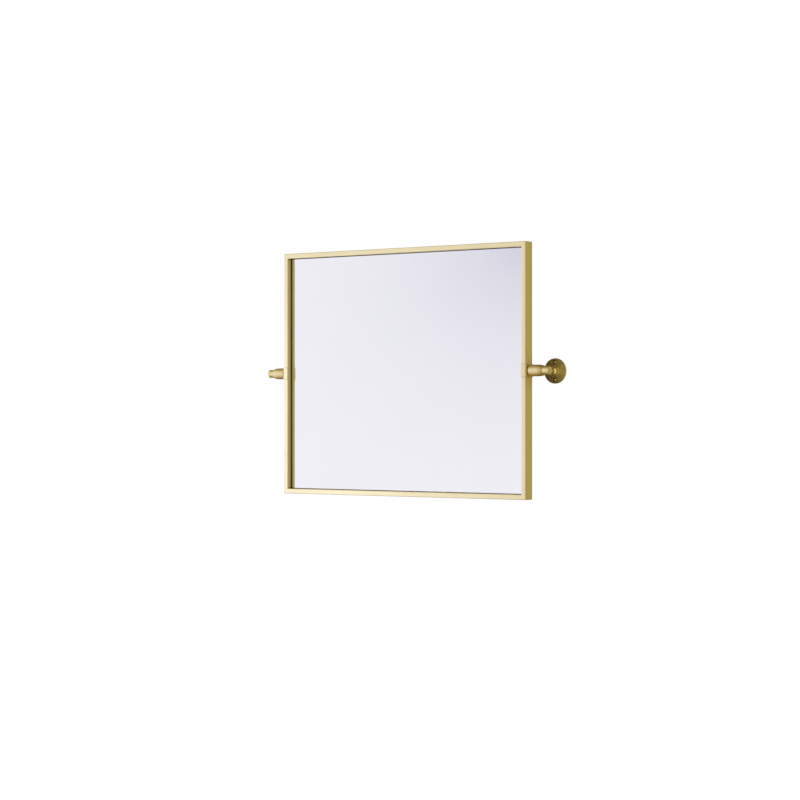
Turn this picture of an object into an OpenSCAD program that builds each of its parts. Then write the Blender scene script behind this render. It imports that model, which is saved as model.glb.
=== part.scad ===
// Pivot wall mirror: a framed mirror that tilts between two brackets on the wall.
// Sizes are millimetres. Seen from the front, +X is to the right, +Y goes into the wall
// and +Z is up. The origin is on the wall, midway between the flanges, at pivot height.

/* [Mirror frame] */
// Width over the frame
mirror_w = 609.6; // [400:0.1:900]
// Height over the frame
mirror_h = 508; // [300:0.1:900]
// Width of the frame's face
face_w = 10.3; // [9.5:0.1:16]
// Depth of the frame from front to back
frame_depth = 25.4; // [24:0.1:40]
// Wall thickness of the frame tube
tube_wall = 1.5; // [1:0.1:1.8]
// Radius along the tube's edges
tube_edge_r = 1.5; // [1.2:0.1:2.5]

/* [Glass and backing] */
// How far the glass lies behind the frame's front
glass_recess = 10.1; // [4:0.1:10.4]
// Thickness of the glass
glass_t = 4; // [3:0.5:5]
// Gap between the glass and the frame, all round
glass_gap = 0.5; // [0.3:0.1:2]
// Width of the bevel ground along the glass's front edge
glass_arris = 0.3; // [0.2:0.1:1]
// Number of tape strips behind the glass
tape_count = 4; // [2:1:6]
// Width of a tape strip
tape_w = 20; // [10:1:30]
// Thickness of the tape
tape_t = 1; // [0.5:0.1:1.5]
// Distance from the glass's edge to the tape
tape_inset = 30; // [15:1:50]
// Thickness of the backing board
board_t = 6; // [4:0.5:8]
// Gap between the board and the frame, all round
board_gap = 0.6; // [0.3:0.1:0.9]

/* [Board tabs] */
// Width of a tab along the frame
tab_w = 20; // [16:1:30]
// Reach of a tab behind the board
tab_leg = 15; // [14:0.5:20]
// Length of a tab's foot along the frame's inner wall
tab_foot = 4; // [3:0.1:4.3]
// Sheet thickness of a tab
tab_t = 1.5; // [1:0.1:2]
// Distance from the opening's corner to the middle of a tab
tab_inset = 95; // [60:1:120]
// Distance from the frame's inner wall to the tab's screw
tab_screw_in = 9.5; // [8:0.5:10]

/* [Board screws] */
// Thread diameter
board_screw_d = 3.5; // [3:0.5:4]
// Head diameter
board_screw_head_d = 7; // [6:0.5:8]
// Head height
board_screw_head_t = 2; // [1.5:0.1:2.5]
// Depth of the thread in the board
board_screw_bite = 4.5; // [3:0.5:5]
// Length over the head's cross recess
cross_l = 4; // [3:0.1:4.5]
// Width of an arm of the cross recess
cross_w = 0.9; // [0.6:0.1:1.2]
// Depth of the cross recess
cross_depth = 1.2; // [0.8:0.1:1.4]

/* [Bumper pads] */
// Diameter of a pad
pad_d = 6.5; // [5:0.5:7]
// Thickness of a pad
pad_t = 1.2; // [0.8:0.1:1.5]

/* [Clip] */
// Sheet thickness of the clip
clip_t = 1.5; // [1:0.1:3]
// Height of the clip
clip_h = 26; // [24:0.5:40]
// Inside radius of the clip's bends
clip_bend_r = 1; // [0.5:0.1:1.2]
// Radius on the tips of the clip's legs
clip_tip_r = 0.5; // [0.3:0.1:0.7]

/* [Pivot stud] */
// Diameter of the stud that each side of the mirror turns on
stud_d = 8; // [6:0.5:9]
// Depth of the stud behind the stile's outer wall
stud_depth = 5.8; // [5.2:0.1:6.2]
// Width of the weld nut across its flats
nut_flats = 13; // [11:0.5:16]
// Thickness of the weld nut
nut_t = 5; // [4:0.5:5]
// Diameter of the friction washer between clip and barrel
friction_washer_d = 19; // [14:0.5:22]
// Thickness of the friction washer
friction_washer_t = 2.4; // [0.8:0.1:3]

/* [Barrel] */
// Length of the barrel
barrel_l = 29.6; // [28:0.1:50]
// Thickness of the rim outside the shadow groove at the mouth
mouth_wall = 1; // [0.9:0.1:2]
// How far the largest radius stands out past the mouth's
belly_swell = 1.3; // [0.5:0.1:3]
// How far the root's radius falls short of the largest
root_taper = 0.2; // [0.1:0.1:1]
// Distance from the root to the largest diameter
barrel_belly_at = 17.2; // [10:0.1:20]
// Radius on the edge of the root
root_round = 1.2; // [0.5:0.1:1.5]
// Radius on the edge of the mouth
mouth_round = 0.8; // [0.5:0.1:1]
// Depth of the mouth, down to the shoulder inside
mouth_depth = 7.5; // [6:0.1:12]
// Width of the shadow groove round the knob
groove_w = 0.8; // [0.5:0.1:1]
// Depth of the shadow groove
groove_depth = 1.6; // [0.5:0.1:3]
// Outer diameter of the bush inside
bush_d = 12; // [10.5:0.5:13]

/* [Tension knob] */
// Diameter of the knob
knob_d = 17.4; // [16:0.1:21]
// How far the knob stands out of the barrel
knob_reach = 15.2; // [8:0.1:30]
// Chamfer on the knob's outer end
knob_chamfer = 1.5; // [0.5:0.1:2.5]
// Thickness of metal left beyond the stud
knob_end_t = 6; // [3:0.5:8]
// Thickness of the thrust washer on the shoulder
thrust_washer_t = 1; // [0.8:0.1:1.5]
// Radial gap round the thrust washer and the disc spring
washer_gap = 1.25; // [0.5:0.05:1.5]
// Sheet thickness of the disc spring
spring_t = 0.5; // [0.3:0.1:0.7]
// Height of the disc spring
spring_h = 1; // [0.8:0.1:1.5]

/* [Post] */
// From the wall to the pivot's axis
pivot_to_wall = 68.2; // [60:0.1:120]
// From the barrel's root to the post's axis
post_in_barrel = 14.8; // [10:0.1:18]
// Diameter of the collar next to the flange
collar_d = 16.5; // [14:0.5:21]
// Length of the collar
collar_l = 5.5; // [4:0.5:10]
// Radius on the collar's front edge
collar_round = 2.4; // [1:0.1:2.4]
// Diameter of the neck
neck_d = 12; // [10:0.5:13]
// Diameter of the neck's flared end at the barrel
flare_d = 14; // [13:0.5:16]
// Length of the flare's cone
flare_l = 4; // [2:0.5:8]
// Diameter of the spigot in the barrel
spigot_d = 8; // [6:0.5:9]
// Metal left between the spigot's hole and the bush
spigot_end_wall = 1.5; // [1:0.1:3]

/* [Flange] */
// Diameter of the flange
flange_d = 50.8; // [46:0.1:70]
// Thickness of the flange at its rim
flange_t = 4; // [3:0.1:6]
// Radius on the flange's front edge
flange_round = 1.5; // [0.5:0.1:2]
// Diameter of the boss round the post
boss_d = 22.2; // [21.5:0.1:25]
// Height of the boss above the flange
boss_t = 2.3; // [1:0.1:4]
// Radius on the boss's edge
boss_round = 0.7; // [0.3:0.1:1]
// Distance between the two wall screw holes
wall_hole_spacing = 35; // [34.5:0.1:40]
// Diameter of a wall screw hole
wall_hole_d = 4; // [3.6:0.1:6]
// Diameter of a wall screw hole's countersink
wall_sink_d = 9.2; // [8:0.1:10]
// Diameter of the screw into the post
flange_screw_d = 6; // [5:0.5:7]
// Head diameter of the screw into the post
flange_screw_head_d = 11.6; // [10:0.1:13]
// How far the screw's head lies below the flange's back
flange_screw_sunk = 0.3; // [0.1:0.1:0.6]
// Length of the screw's thread in the post
flange_screw_bite = 12; // [8:0.5:14]

/* [Clearances] */
// Radial clearance of threads and seats that don't turn
seat_clear = 0.05; // [0.02:0.01:0.08]
// Radial clearance where a piece turns on the stud
run_clear = 0.06; // [0.03:0.01:0.1]
// Gap between faces that turn past each other
run_gap = 0.1; // [0.05:0.05:0.3]
// Radial clearance between the knob and the barrel's mouth
knob_clear = 0.35; // [0.2:0.05:0.4]
// Gap between the end of a pin or screw and the bottom of its hole
end_gap = 0.2; // [0.1:0.05:0.5]

/* [Hidden] */
$fn = 96;

// Past any face that a cutting shape has to clear
over = 1;

// Finishes
gold = [0.80, 0.70, 0.46];
dark_gold = [0.66, 0.56, 0.33];
steel = [0.62, 0.63, 0.65];
silvered = [0.88, 0.88, 0.92];
black = [0.12, 0.12, 0.13];
fibre = [0.36, 0.27, 0.19];
nylon = [0.90, 0.90, 0.86];

// Places along Y, from the wall to the room
front_y = -pivot_to_wall - frame_depth / 2;
back_y = front_y + frame_depth;
glass_y = front_y + glass_recess;
tape_y = glass_y + glass_t;
board_y = tape_y + tape_t;
board_back_y = board_y + board_t;

// The frame's opening and what lies in it
opening_w = mirror_w - 2 * face_w;
opening_h = mirror_h - 2 * face_w;
glass_w = opening_w - 2 * glass_gap;
glass_h = opening_h - 2 * glass_gap;

// The barrel's section follows from the knob that it holds
mouth_bore_d = knob_d + 2 * knob_clear;
barrel_mouth_d = knob_d + 2 * groove_w + 2 * mouth_wall;
barrel_belly_d = barrel_mouth_d + 2 * belly_swell;
barrel_root_d = barrel_belly_d - 2 * root_taper;
thrust_washer_d = mouth_bore_d - 2 * washer_gap;

// Places along the pivot's axis, from the stile's outer side
barrel_at = clip_t + friction_washer_t + run_gap;
mouth_at = barrel_at + barrel_l;
shoulder_at = mouth_at - mouth_depth;
spring_at = shoulder_at + thrust_washer_t + run_gap;
knob_at = spring_at + spring_h + run_gap;
knob_end_at = mouth_at + knob_reach;
stud_end_at = knob_end_at - knob_end_t;
post_at = barrel_at + post_in_barrel;
post_x = mirror_w / 2 + post_at;

// Places along the post, from the wall
collar_at = flange_t + boss_t;
spigot_end_at = pivot_to_wall - bush_d / 2 - spigot_end_wall - end_gap;

// ---- Helpers ----

// Rectangle from the origin, with radius r_low on its corners at x = 0 and r_high at x = w
module soft_rectangle(w, d, r_low, r_high) {
    translate([r_low, 0]) square([w - r_low - r_high, d]);
    translate([0, r_low]) square([w / 2, d - 2 * r_low]);
    translate([w / 2, r_high]) square([w / 2, d - 2 * r_high]);
    for (y = [r_low, d - r_low]) {
        translate([r_low, y]) circle(r_low);
    }
    for (y = [r_high, d - r_high]) {
        translate([w - r_high, y]) circle(r_high);
    }
}

// Half section of a disc of radius r from z = 0 to z = h, its upper edge rounded by round_r
module disc_section(r, h, round_r) {
    square([r - round_r, h]);
    square([r, h - round_r]);
    translate([r - round_r, h - round_r]) circle(round_r);
}

// Ring from z = 0 to z = h
module ring(outer_d, inner_d, h) {
    difference() {
        cylinder(h = h, d = outer_d);
        translate([0, 0, -over]) cylinder(h = h + 2 * over, d = inner_d);
    }
}

// Hexagonal bar from z = 0, measured across its flats
module hex_bar(flats, h) {
    cylinder(h = h, d = flats / cos(30), $fn = 6);
}

// Local +Z runs outward along the right pivot's axis, from the stile's outer side
module on_pivot() {
    translate([mirror_w / 2, -pivot_to_wall, 0]) rotate([0, 90, 0]) children();
}

// Local +Z runs along the right post's axis, from the wall to the room
module on_post() {
    translate([post_x, 0, 0]) rotate([90, 0, 0]) children();
}

module to_left() {
    mirror([1, 0, 0]) children();
}

// ---- Mirror frame ----

// Section of the frame tube: x from the outer side inward, y from the front to the back
module tube_section() {
    difference() {
        soft_rectangle(face_w, frame_depth, tube_edge_r, tube_edge_r);
        translate([tube_wall, tube_wall])
            square([face_w - 2 * tube_wall, frame_depth - 2 * tube_wall]);
    }
}

// One mitred length of tube, centred on Z, its outer side at x = 0 and its front at y = 0
module frame_member(length) {
    intersection() {
        translate([0, 0, -length / 2]) linear_extrude(length) tube_section();
        rotate([90, 0, 0]) translate([0, 0, -frame_depth - over])
            linear_extrude(frame_depth + 2 * over)
                polygon([
                    [0, -length / 2], [face_w, face_w - length / 2],
                    [face_w, length / 2 - face_w], [0, length / 2]
                ]);
    }
}

module frame_top_rail() {
    color(gold) translate([0, front_y, mirror_h / 2]) rotate([0, 90, 0]) frame_member(mirror_w);
}

module frame_bottom_rail() {
    color(gold) translate([0, front_y, -mirror_h / 2]) rotate([0, -90, 0]) frame_member(mirror_w);
}

module frame_right_stile() {
    color(gold) difference() {
        translate([mirror_w / 2, back_y, 0]) rotate([0, 0, 180]) frame_member(mirror_h);
        on_pivot() translate([0, 0, -tube_wall - over / 2])
            cylinder(h = tube_wall + over, d = stud_d + 2 * seat_clear);
    }
}

module frame_left_stile() {
    to_left() frame_right_stile();
}

// ---- Glass and backing ----

// The glass is bevelled along its front edge, so its section is a rectangle without two corners
module mirror_glass() {
    color(silvered) intersection() {
        translate([0, glass_y, 0]) rotate([-90, 0, 0]) bevelled_slab(glass_w, glass_h);
        translate([0, glass_y, 0]) rotate([-90, 0, 0]) rotate([0, 0, 90])
            bevelled_slab(glass_h, glass_w);
    }
}

// Slab as thick as the glass, w by l, with the two long edges at z = 0 bevelled
module bevelled_slab(w, l) {
    rotate([90, 0, 0]) translate([0, 0, -l / 2]) linear_extrude(l)
        polygon([
            [-w / 2 + glass_arris, 0], [w / 2 - glass_arris, 0],
            [w / 2, glass_arris], [w / 2, glass_t], [-w / 2, glass_t], [-w / 2, glass_arris]
        ]);
}

module glass_tape() {
    strip_h = glass_h - 2 * tape_inset;
    pitch = (glass_w - 2 * tape_inset - tape_w) / (tape_count - 1);
    color(black) for (i = [0 : tape_count - 1]) {
        translate([(i - (tape_count - 1) / 2) * pitch - tape_w / 2, tape_y, -strip_h / 2])
            cube([tape_w, tape_t, strip_h]);
    }
}

module backing_board() {
    board_w = opening_w - 2 * board_gap;
    board_h = opening_h - 2 * board_gap;
    color(fibre) difference() {
        translate([-board_w / 2, board_y, -board_h / 2]) cube([board_w, board_t, board_h]);
        at_tabs() tab_screw_hole(board_screw_bite + end_gap);
    }
}

// Each tab's own frame: on the opening's wall at the board's back, +X inward and +Y to the wall
module at_tabs() {
    for (turn = [0, 90, 180, 270], end = [-1, 1]) {
        wall_half = (turn % 180 == 0) ? opening_w / 2 : opening_h / 2;
        span_half = (turn % 180 == 0) ? opening_h / 2 : opening_w / 2;
        rotate([0, turn, 0])
            translate([-wall_half, board_back_y, end * (span_half - tab_inset)])
                children();
    }
}

// Hole for a tab's screw, from its depth in the board to clear behind the tab
module tab_screw_hole(depth) {
    translate([tab_screw_in, -depth, 0]) rotate([-90, 0, 0])
        cylinder(h = depth + tab_t + over, d = board_screw_d + 2 * seat_clear);
}

module board_tabs() {
    color(steel) at_tabs() difference() {
        translate([0, 0, -tab_w / 2]) union() {
            cube([tab_leg, tab_t, tab_w]);
            cube([tab_t, tab_foot, tab_w]);
        }
        tab_screw_hole(over);
    }
}

module board_screws() {
    color(steel) at_tabs()
        translate([tab_screw_in, -board_screw_bite, 0]) rotate([-90, 0, 0])
            board_screw();
}

// Pan-head screw from its tip at z = 0 to its head
module board_screw() {
    head_at = board_screw_bite + tab_t;
    cylinder(h = head_at, d = board_screw_d);
    translate([0, 0, head_at]) difference() {
        rotate_extrude() half_plane()
            disc_section(board_screw_head_d / 2, board_screw_head_t, board_screw_head_t / 2);
        translate([0, 0, board_screw_head_t - cross_depth / 2 + over / 2])
            for (turn = [0, 90]) {
                rotate([0, 0, turn]) cube([cross_l, cross_w, cross_depth + over], center = true);
            }
    }
}

// Keeps only what lies at x >= 0, so that a section can be turned about its axis
module half_plane() {
    reach = mirror_w;
    intersection() {
        children();
        translate([0, -reach / 2]) square([reach, reach]);
    }
}

module bumper_pads() {
    color(black) for (side = [-1, 1], end = [-1, 1]) {
        translate([side * (mirror_w - face_w) / 2, back_y, end * (mirror_h - face_w) / 2])
            rotate([-90, 0, 0]) cylinder(h = pad_t, d = pad_d);
    }
}

// ---- Clips and studs, which tilt with the mirror ----

// The strip wraps the stile's front, outer side and back, and its tips end at the opening
module right_clip() {
    color(gold) difference() {
        translate([mirror_w / 2 + clip_t, back_y + clip_t, -clip_h / 2]) rotate([0, 0, 180])
            linear_extrude(clip_h) difference() {
                soft_rectangle(face_w + clip_t, frame_depth + 2 * clip_t,
                    clip_bend_r + clip_t, clip_tip_r);
                translate([clip_t, clip_t])
                    soft_rectangle(2 * face_w, frame_depth, clip_bend_r, clip_bend_r);
            }
        on_pivot() translate([0, 0, -over / 2])
            cylinder(h = clip_t + over, d = stud_d + 2 * seat_clear);
    }
}

module left_clip() {
    to_left() right_clip();
}

module right_weld_nut() {
    color(steel) on_pivot() translate([0, 0, -tube_wall - nut_t]) difference() {
        hex_bar(nut_flats, nut_t);
        translate([0, 0, -over]) cylinder(h = nut_t + 2 * over, d = stud_d + 2 * seat_clear);
    }
}

module left_weld_nut() {
    to_left() right_weld_nut();
}

// The stud runs from the weld nut through clip, washer and barrel into the knob
module right_pivot_stud() {
    start = -tube_wall - stud_depth;
    color(steel) on_pivot() translate([0, 0, start])
        cylinder(h = stud_end_at - start, d = stud_d);
}

module left_pivot_stud() {
    to_left() right_pivot_stud();
}

module right_friction_washer() {
    color(dark_gold) on_pivot() translate([0, 0, clip_t])
        ring(friction_washer_d, stud_d + 2 * seat_clear, friction_washer_t);
}

module left_friction_washer() {
    to_left() right_friction_washer();
}

// ---- Tension knobs, which turn on the studs and press each barrel against its clip ----

module right_tension_knob() {
    knob_r = knob_d / 2;
    knob_l = knob_end_at - knob_at;
    color(gold) on_pivot() translate([0, 0, knob_at]) difference() {
        rotate_extrude() polygon([
            [0, 0], [knob_r, 0], [knob_r, knob_l - knob_chamfer],
            [knob_r - knob_chamfer, knob_l], [0, knob_l]
        ]);
        translate([0, 0, -over])
            cylinder(h = stud_end_at + end_gap - knob_at + over, d = stud_d + 2 * run_clear);
    }
}

module left_tension_knob() {
    to_left() right_tension_knob();
}

// ---- Brackets, which stay on the wall ----

// Half section of the barrel's outside, z from the root: a slow cone up to the belly, then an
// arc down to the mouth
module barrel_section() {
    root_r = barrel_root_d / 2;
    belly_r = barrel_belly_d / 2;
    mouth_r = barrel_mouth_d / 2;
    rise = barrel_l - barrel_belly_at;
    arc_r = (pow(rise, 2) + pow(belly_r - mouth_r, 2)) / (2 * (belly_r - mouth_r));
    lip_rise = rise - mouth_round;
    lip_r = belly_r - arc_r + sqrt(pow(arc_r, 2) - pow(lip_rise, 2));
    polygon([
        [0, 0], [root_r - root_round, 0], [root_r - root_round, root_round],
        [root_r, root_round], [belly_r, barrel_belly_at], [0, barrel_belly_at]
    ]);
    translate([root_r - root_round, root_round]) circle(root_round);
    intersection() {
        translate([belly_r - arc_r, barrel_belly_at]) circle(arc_r, $fn = 360);
        translate([0, barrel_belly_at]) square([belly_r, lip_rise]);
    }
    translate([0, barrel_belly_at]) square([lip_r - mouth_round, rise]);
    translate([lip_r - mouth_round, barrel_l - mouth_round]) circle(mouth_round);
}

module right_barrel() {
    color(gold) difference() {
        on_pivot() difference() {
            translate([0, 0, barrel_at]) rotate_extrude() barrel_section();
            translate([0, 0, barrel_at - over])
                cylinder(h = barrel_l + over, d = bush_d + 2 * seat_clear);
            translate([0, 0, shoulder_at])
                cylinder(h = mouth_depth + over, d = mouth_bore_d);
            translate([0, 0, mouth_at - groove_depth])
                cylinder(h = groove_depth + over, d = knob_d + 2 * groove_w);
        }
        on_post() cylinder(h = spigot_end_at + end_gap, d = spigot_d + 2 * seat_clear);
    }
}

module left_barrel() {
    to_left() right_barrel();
}

module right_pivot_bush() {
    color(nylon) on_pivot() translate([0, 0, barrel_at + run_gap])
        ring(bush_d, stud_d + 2 * run_clear, shoulder_at - barrel_at - run_gap);
}

module left_pivot_bush() {
    to_left() right_pivot_bush();
}

module right_thrust_washer() {
    color(steel) on_pivot() translate([0, 0, shoulder_at])
        ring(thrust_washer_d, stud_d + 4 * run_clear, thrust_washer_t);
}

module left_thrust_washer() {
    to_left() right_thrust_washer();
}

// A shallow cone of sheet, its wide edge on the thrust washer's side
module right_disc_spring() {
    inner_r = stud_d / 2 + 2 * run_clear;
    outer_r = thrust_washer_d / 2;
    color(steel) on_pivot() translate([0, 0, spring_at]) rotate_extrude()
        polygon([
            [outer_r, 0], [outer_r, spring_t], [inner_r, spring_h], [inner_r, spring_h - spring_t]
        ]);
}

module left_disc_spring() {
    to_left() right_disc_spring();
}

// Collar, neck and flare turned in one piece, saddled to the barrel, with a spigot into it
module right_post() {
    flare_at = pivot_to_wall - barrel_belly_d / 2 - flare_l;
    color(gold) difference() {
        union() {
            difference() {
                on_post() union() {
                    translate([0, 0, collar_at]) rotate_extrude() half_plane()
                        disc_section(collar_d / 2, collar_l, collar_round);
                    translate([0, 0, collar_at]) cylinder(h = flare_at - collar_at, d = neck_d);
                    translate([0, 0, flare_at]) cylinder(h = flare_l, d1 = neck_d, d2 = flare_d);
                    translate([0, 0, flare_at + flare_l])
                        cylinder(h = barrel_belly_d / 4, d = flare_d);
                }
                on_pivot() cylinder(h = mouth_at, d = barrel_belly_d + 2 * seat_clear);
            }
            on_post() translate([0, 0, flare_at])
                cylinder(h = spigot_end_at - flare_at, d = spigot_d);
        }
        on_post() translate([0, 0, collar_at - over])
            cylinder(h = flange_screw_bite + end_gap + over, d = flange_screw_d + 2 * seat_clear);
    }
}

module left_post() {
    to_left() right_post();
}

module right_flange() {
    wall_sink_depth = (wall_sink_d - wall_hole_d) / 2;
    head_d = flange_screw_head_d + 2 * seat_clear;
    shank_d = flange_screw_d + 2 * seat_clear;
    color(dark_gold) on_post() difference() {
        union() {
            rotate_extrude() half_plane() disc_section(flange_d / 2, flange_t, flange_round);
            rotate_extrude() half_plane() disc_section(boss_d / 2, collar_at, boss_round);
        }
        for (side = [-1, 1]) {
            translate([0, side * wall_hole_spacing / 2, 0]) {
                translate([0, 0, -over]) cylinder(h = flange_t + 2 * over, d = wall_hole_d);
                translate([0, 0, flange_t - wall_sink_depth])
                    cylinder(h = wall_sink_depth, d1 = wall_hole_d, d2 = wall_sink_d);
                translate([0, 0, flange_t]) cylinder(h = over, d = wall_sink_d);
            }
        }
        translate([0, 0, -over]) cylinder(h = collar_at + 2 * over, d = shank_d);
        translate([0, 0, flange_screw_sunk])
            cylinder(h = (head_d - shank_d) / 2, d1 = head_d, d2 = shank_d);
        translate([0, 0, -over]) cylinder(h = over + flange_screw_sunk, d = head_d);
    }
}

module left_flange() {
    to_left() right_flange();
}

module right_flange_screw() {
    head_t = (flange_screw_head_d - flange_screw_d) / 2;
    socket_flats = 4;
    socket_depth = 2.5;
    color(steel) on_post() translate([0, 0, flange_screw_sunk]) difference() {
        union() {
            cylinder(h = head_t, d1 = flange_screw_head_d, d2 = flange_screw_d);
            cylinder(h = collar_at + flange_screw_bite - flange_screw_sunk, d = flange_screw_d);
        }
        translate([0, 0, -over]) hex_bar(socket_flats, socket_depth + over);
    }
}

module left_flange_screw() {
    to_left() right_flange_screw();
}

// ---- Output ----

frame_top_rail();
frame_bottom_rail();
frame_left_stile();
frame_right_stile();
mirror_glass();
glass_tape();
backing_board();
board_tabs();
board_screws();
bumper_pads();
left_clip();
right_clip();
left_weld_nut();
right_weld_nut();
left_pivot_stud();
right_pivot_stud();
left_friction_washer();
right_friction_washer();
left_barrel();
right_barrel();
left_pivot_bush();
right_pivot_bush();
left_thrust_washer();
right_thrust_washer();
left_disc_spring();
right_disc_spring();
left_tension_knob();
right_tension_knob();
left_post();
right_post();
left_flange();
right_flange();
left_flange_screw();
right_flange_screw();
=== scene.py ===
"""Looks of a pivot wall mirror: a deep, thin satin-gold frame that tilts between two turned brackets.

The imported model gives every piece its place. Each sub-assembly below builds finer meshes for what
shows, dresses them in procedural finishes and lets them ride on the model's own bodies. Lengths are
metres; +X is to the right, +Y goes into the wall and +Z is up.
"""

import logging
import math
from collections.abc import Callable, Iterable
from dataclasses import dataclass
from enum import Enum
from functools import reduce

import bmesh
import bpy
from mathutils import Matrix, Vector


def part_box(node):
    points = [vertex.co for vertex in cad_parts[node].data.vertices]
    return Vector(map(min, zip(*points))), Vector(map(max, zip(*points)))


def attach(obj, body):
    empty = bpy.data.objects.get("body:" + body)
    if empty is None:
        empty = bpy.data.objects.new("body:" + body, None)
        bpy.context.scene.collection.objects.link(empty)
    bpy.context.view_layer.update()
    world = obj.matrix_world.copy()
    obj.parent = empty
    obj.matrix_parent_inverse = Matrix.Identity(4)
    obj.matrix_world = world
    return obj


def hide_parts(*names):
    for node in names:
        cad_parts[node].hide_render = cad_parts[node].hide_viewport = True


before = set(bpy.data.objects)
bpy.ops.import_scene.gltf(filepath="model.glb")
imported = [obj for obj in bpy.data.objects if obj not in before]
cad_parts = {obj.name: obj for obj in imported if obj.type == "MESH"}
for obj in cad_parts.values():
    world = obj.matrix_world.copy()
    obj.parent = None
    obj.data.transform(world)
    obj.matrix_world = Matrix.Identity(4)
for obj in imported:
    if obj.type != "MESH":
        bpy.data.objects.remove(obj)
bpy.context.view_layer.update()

log = logging.getLogger("pivot_mirror")

MM = 0.001
ON_AXIS = 1e-7  # an outline's point closer to the axis than this lies on it
SHARP_EDGE = math.radians(40)
SHARP_CUT = math.radians(30)
SQUARE_ON = 0.99  # a face whose normal has at least this much of an axis faces along it
Z_TO_Y = Matrix.Rotation(-math.pi / 2, 4, "X")
MIX_SHARE, MIX_FIRST, MIX_SECOND, MIX_COLOUR = 0, 6, 7, 2  # a mix node's sockets for colours, by number

Colour = tuple[float, float, float]
Corner = tuple[float, float, float]  # two coordinates in the outline's plane and the corner's radius
Span = tuple[float, float]  # where something starts and where it is whole
Feed = bpy.types.NodeSocket | Vector | tuple[float, ...] | float  # what a node's input takes


class Side(Enum):
    """The two sides of the mirror, each with its sign along X."""

    LEFT = -1
    RIGHT = 1

    @property
    def word(self) -> str:
        """The side's name as the model's nodes spell it."""
        return self.name.lower()


class Grain(Enum):
    """How a metal surface was brushed, as the scale of its streaks along X, Y and Z."""

    ALONG_X = (14.0, 2600.0, 2600.0)
    ALONG_Z = (2600.0, 2600.0, 14.0)
    TURNED = (2200.0, 0.0, 2200.0)  # out from the axis, nothing, and along the axis


# ---------------------------------------------------------------------------------------------
# Mesh making
# ---------------------------------------------------------------------------------------------


def rounded(corners: Iterable[Corner], closed: bool = True, steps: int = 6) -> list[Vector]:
    """Turns an outline of straight runs into points, with an arc at each corner.

    Args:
        corners: The outline's corners in order, each with the radius of its arc.
        closed: True for a ring, False for an open run of corners.
        steps: The number of runs in each arc.

    Returns:
        The outline's points in the same order.
    """
    places = list(corners)
    points: list[Vector] = []
    for i, (a, b, radius) in enumerate(places):
        here = Vector((a, b))
        at_end = not closed and i in (0, len(places) - 1)
        if radius <= 0 or at_end:
            points.append(here)
            continue
        before = (Vector(places[i - 1][:2]) - here).normalized()
        after = (Vector(places[(i + 1) % len(places)][:2]) - here).normalized()
        half = before.angle(after) / 2
        centre = here + (before + after).normalized() * (radius / math.sin(half))
        start = here + before * (radius / math.tan(half)) - centre
        end = here + after * (radius / math.tan(half)) - centre
        turn = start.angle_signed(end)
        for k in range(steps + 1):
            angle = -turn * k / steps
            points.append(centre + Matrix.Rotation(angle, 2) @ start)
    return points


def lathe(outline: list[Vector], segments: int, closed: bool = True) -> bmesh.types.BMesh:
    """Turns a half section about the local Z axis.

    Args:
        outline: Points as (radius, height).
        segments: The number of segments round the axis.
        closed: True for a ring, False for a section whose ends lie on the axis.

    Returns:
        The turned shape.
    """
    shape = bmesh.new()
    rings: list[list[bmesh.types.BMVert]] = []
    for radius, height in outline:
        if radius < ON_AXIS:
            rings.append([shape.verts.new((0, 0, height))])
            continue
        turns = (2 * math.pi * k / segments for k in range(segments))
        rings.append([shape.verts.new((radius * math.cos(t), radius * math.sin(t), height)) for t in turns])
    pairs = list(zip(rings, rings[1:]))
    if closed:
        pairs.append((rings[-1], rings[0]))
    for low, high in pairs:
        for k in range(segments):
            after = (k + 1) % segments
            loop = [low[k % len(low)], low[after % len(low)], high[after % len(high)], high[k % len(high)]]
            corners = list(dict.fromkeys(loop))
            if len(corners) > 2:
                shape.faces.new(corners)
    bmesh.ops.recalc_face_normals(shape, faces=shape.faces)
    return shape


def prism(outline: list[Vector], low: float, high: float) -> bmesh.types.BMesh:
    """Extrudes a closed outline along Z.

    Args:
        outline: Points as (x, y).
        low: Height of the first end.
        high: Height of the other end.

    Returns:
        The closed shape.
    """
    shape = bmesh.new()
    ends = [[shape.verts.new((x, y, z)) for x, y in outline] for z in (low, high)]
    for end in ends:
        shape.faces.new(end)
    count = len(outline)
    for k in range(count):
        after = (k + 1) % count
        shape.faces.new((ends[0][k], ends[0][after], ends[1][after], ends[1][k]))
    bmesh.ops.recalc_face_normals(shape, faces=shape.faces)
    return shape


def slab(low: Vector, high: Vector, ease: float) -> bmesh.types.BMesh:
    """Makes a flat board with all its edges eased.

    Args:
        low: The lowest corner.
        high: The highest corner.
        ease: Width of the eased edges.

    Returns:
        The closed shape.
    """
    outline = [low.xy, Vector((high.x, low.y)), high.xy, Vector((low.x, high.y))]
    shape = prism(outline, low.z, high.z)
    bmesh.ops.bevel(shape, geom=shape.edges[:], offset=ease, segments=2, profile=0.5, affect="EDGES")
    return shape


def round_plate(
    radius: float, thick: float, low_edge: float, high_edge: float, segments: int
) -> bmesh.types.BMesh:
    """Turns a flat round plate whose upper face is at zero.

    Args:
        radius: Its radius.
        thick: Its thickness.
        low_edge: How far its lower edge is rounded.
        high_edge: How far its upper edge is rounded.
        segments: The number of segments round it.

    Returns:
        The closed shape.
    """
    corners = [(0, -thick, 0), (radius, -thick, low_edge), (radius, 0, high_edge), (0, 0, 0)]
    return lathe(rounded(corners, closed=False), segments, closed=False)


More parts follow.
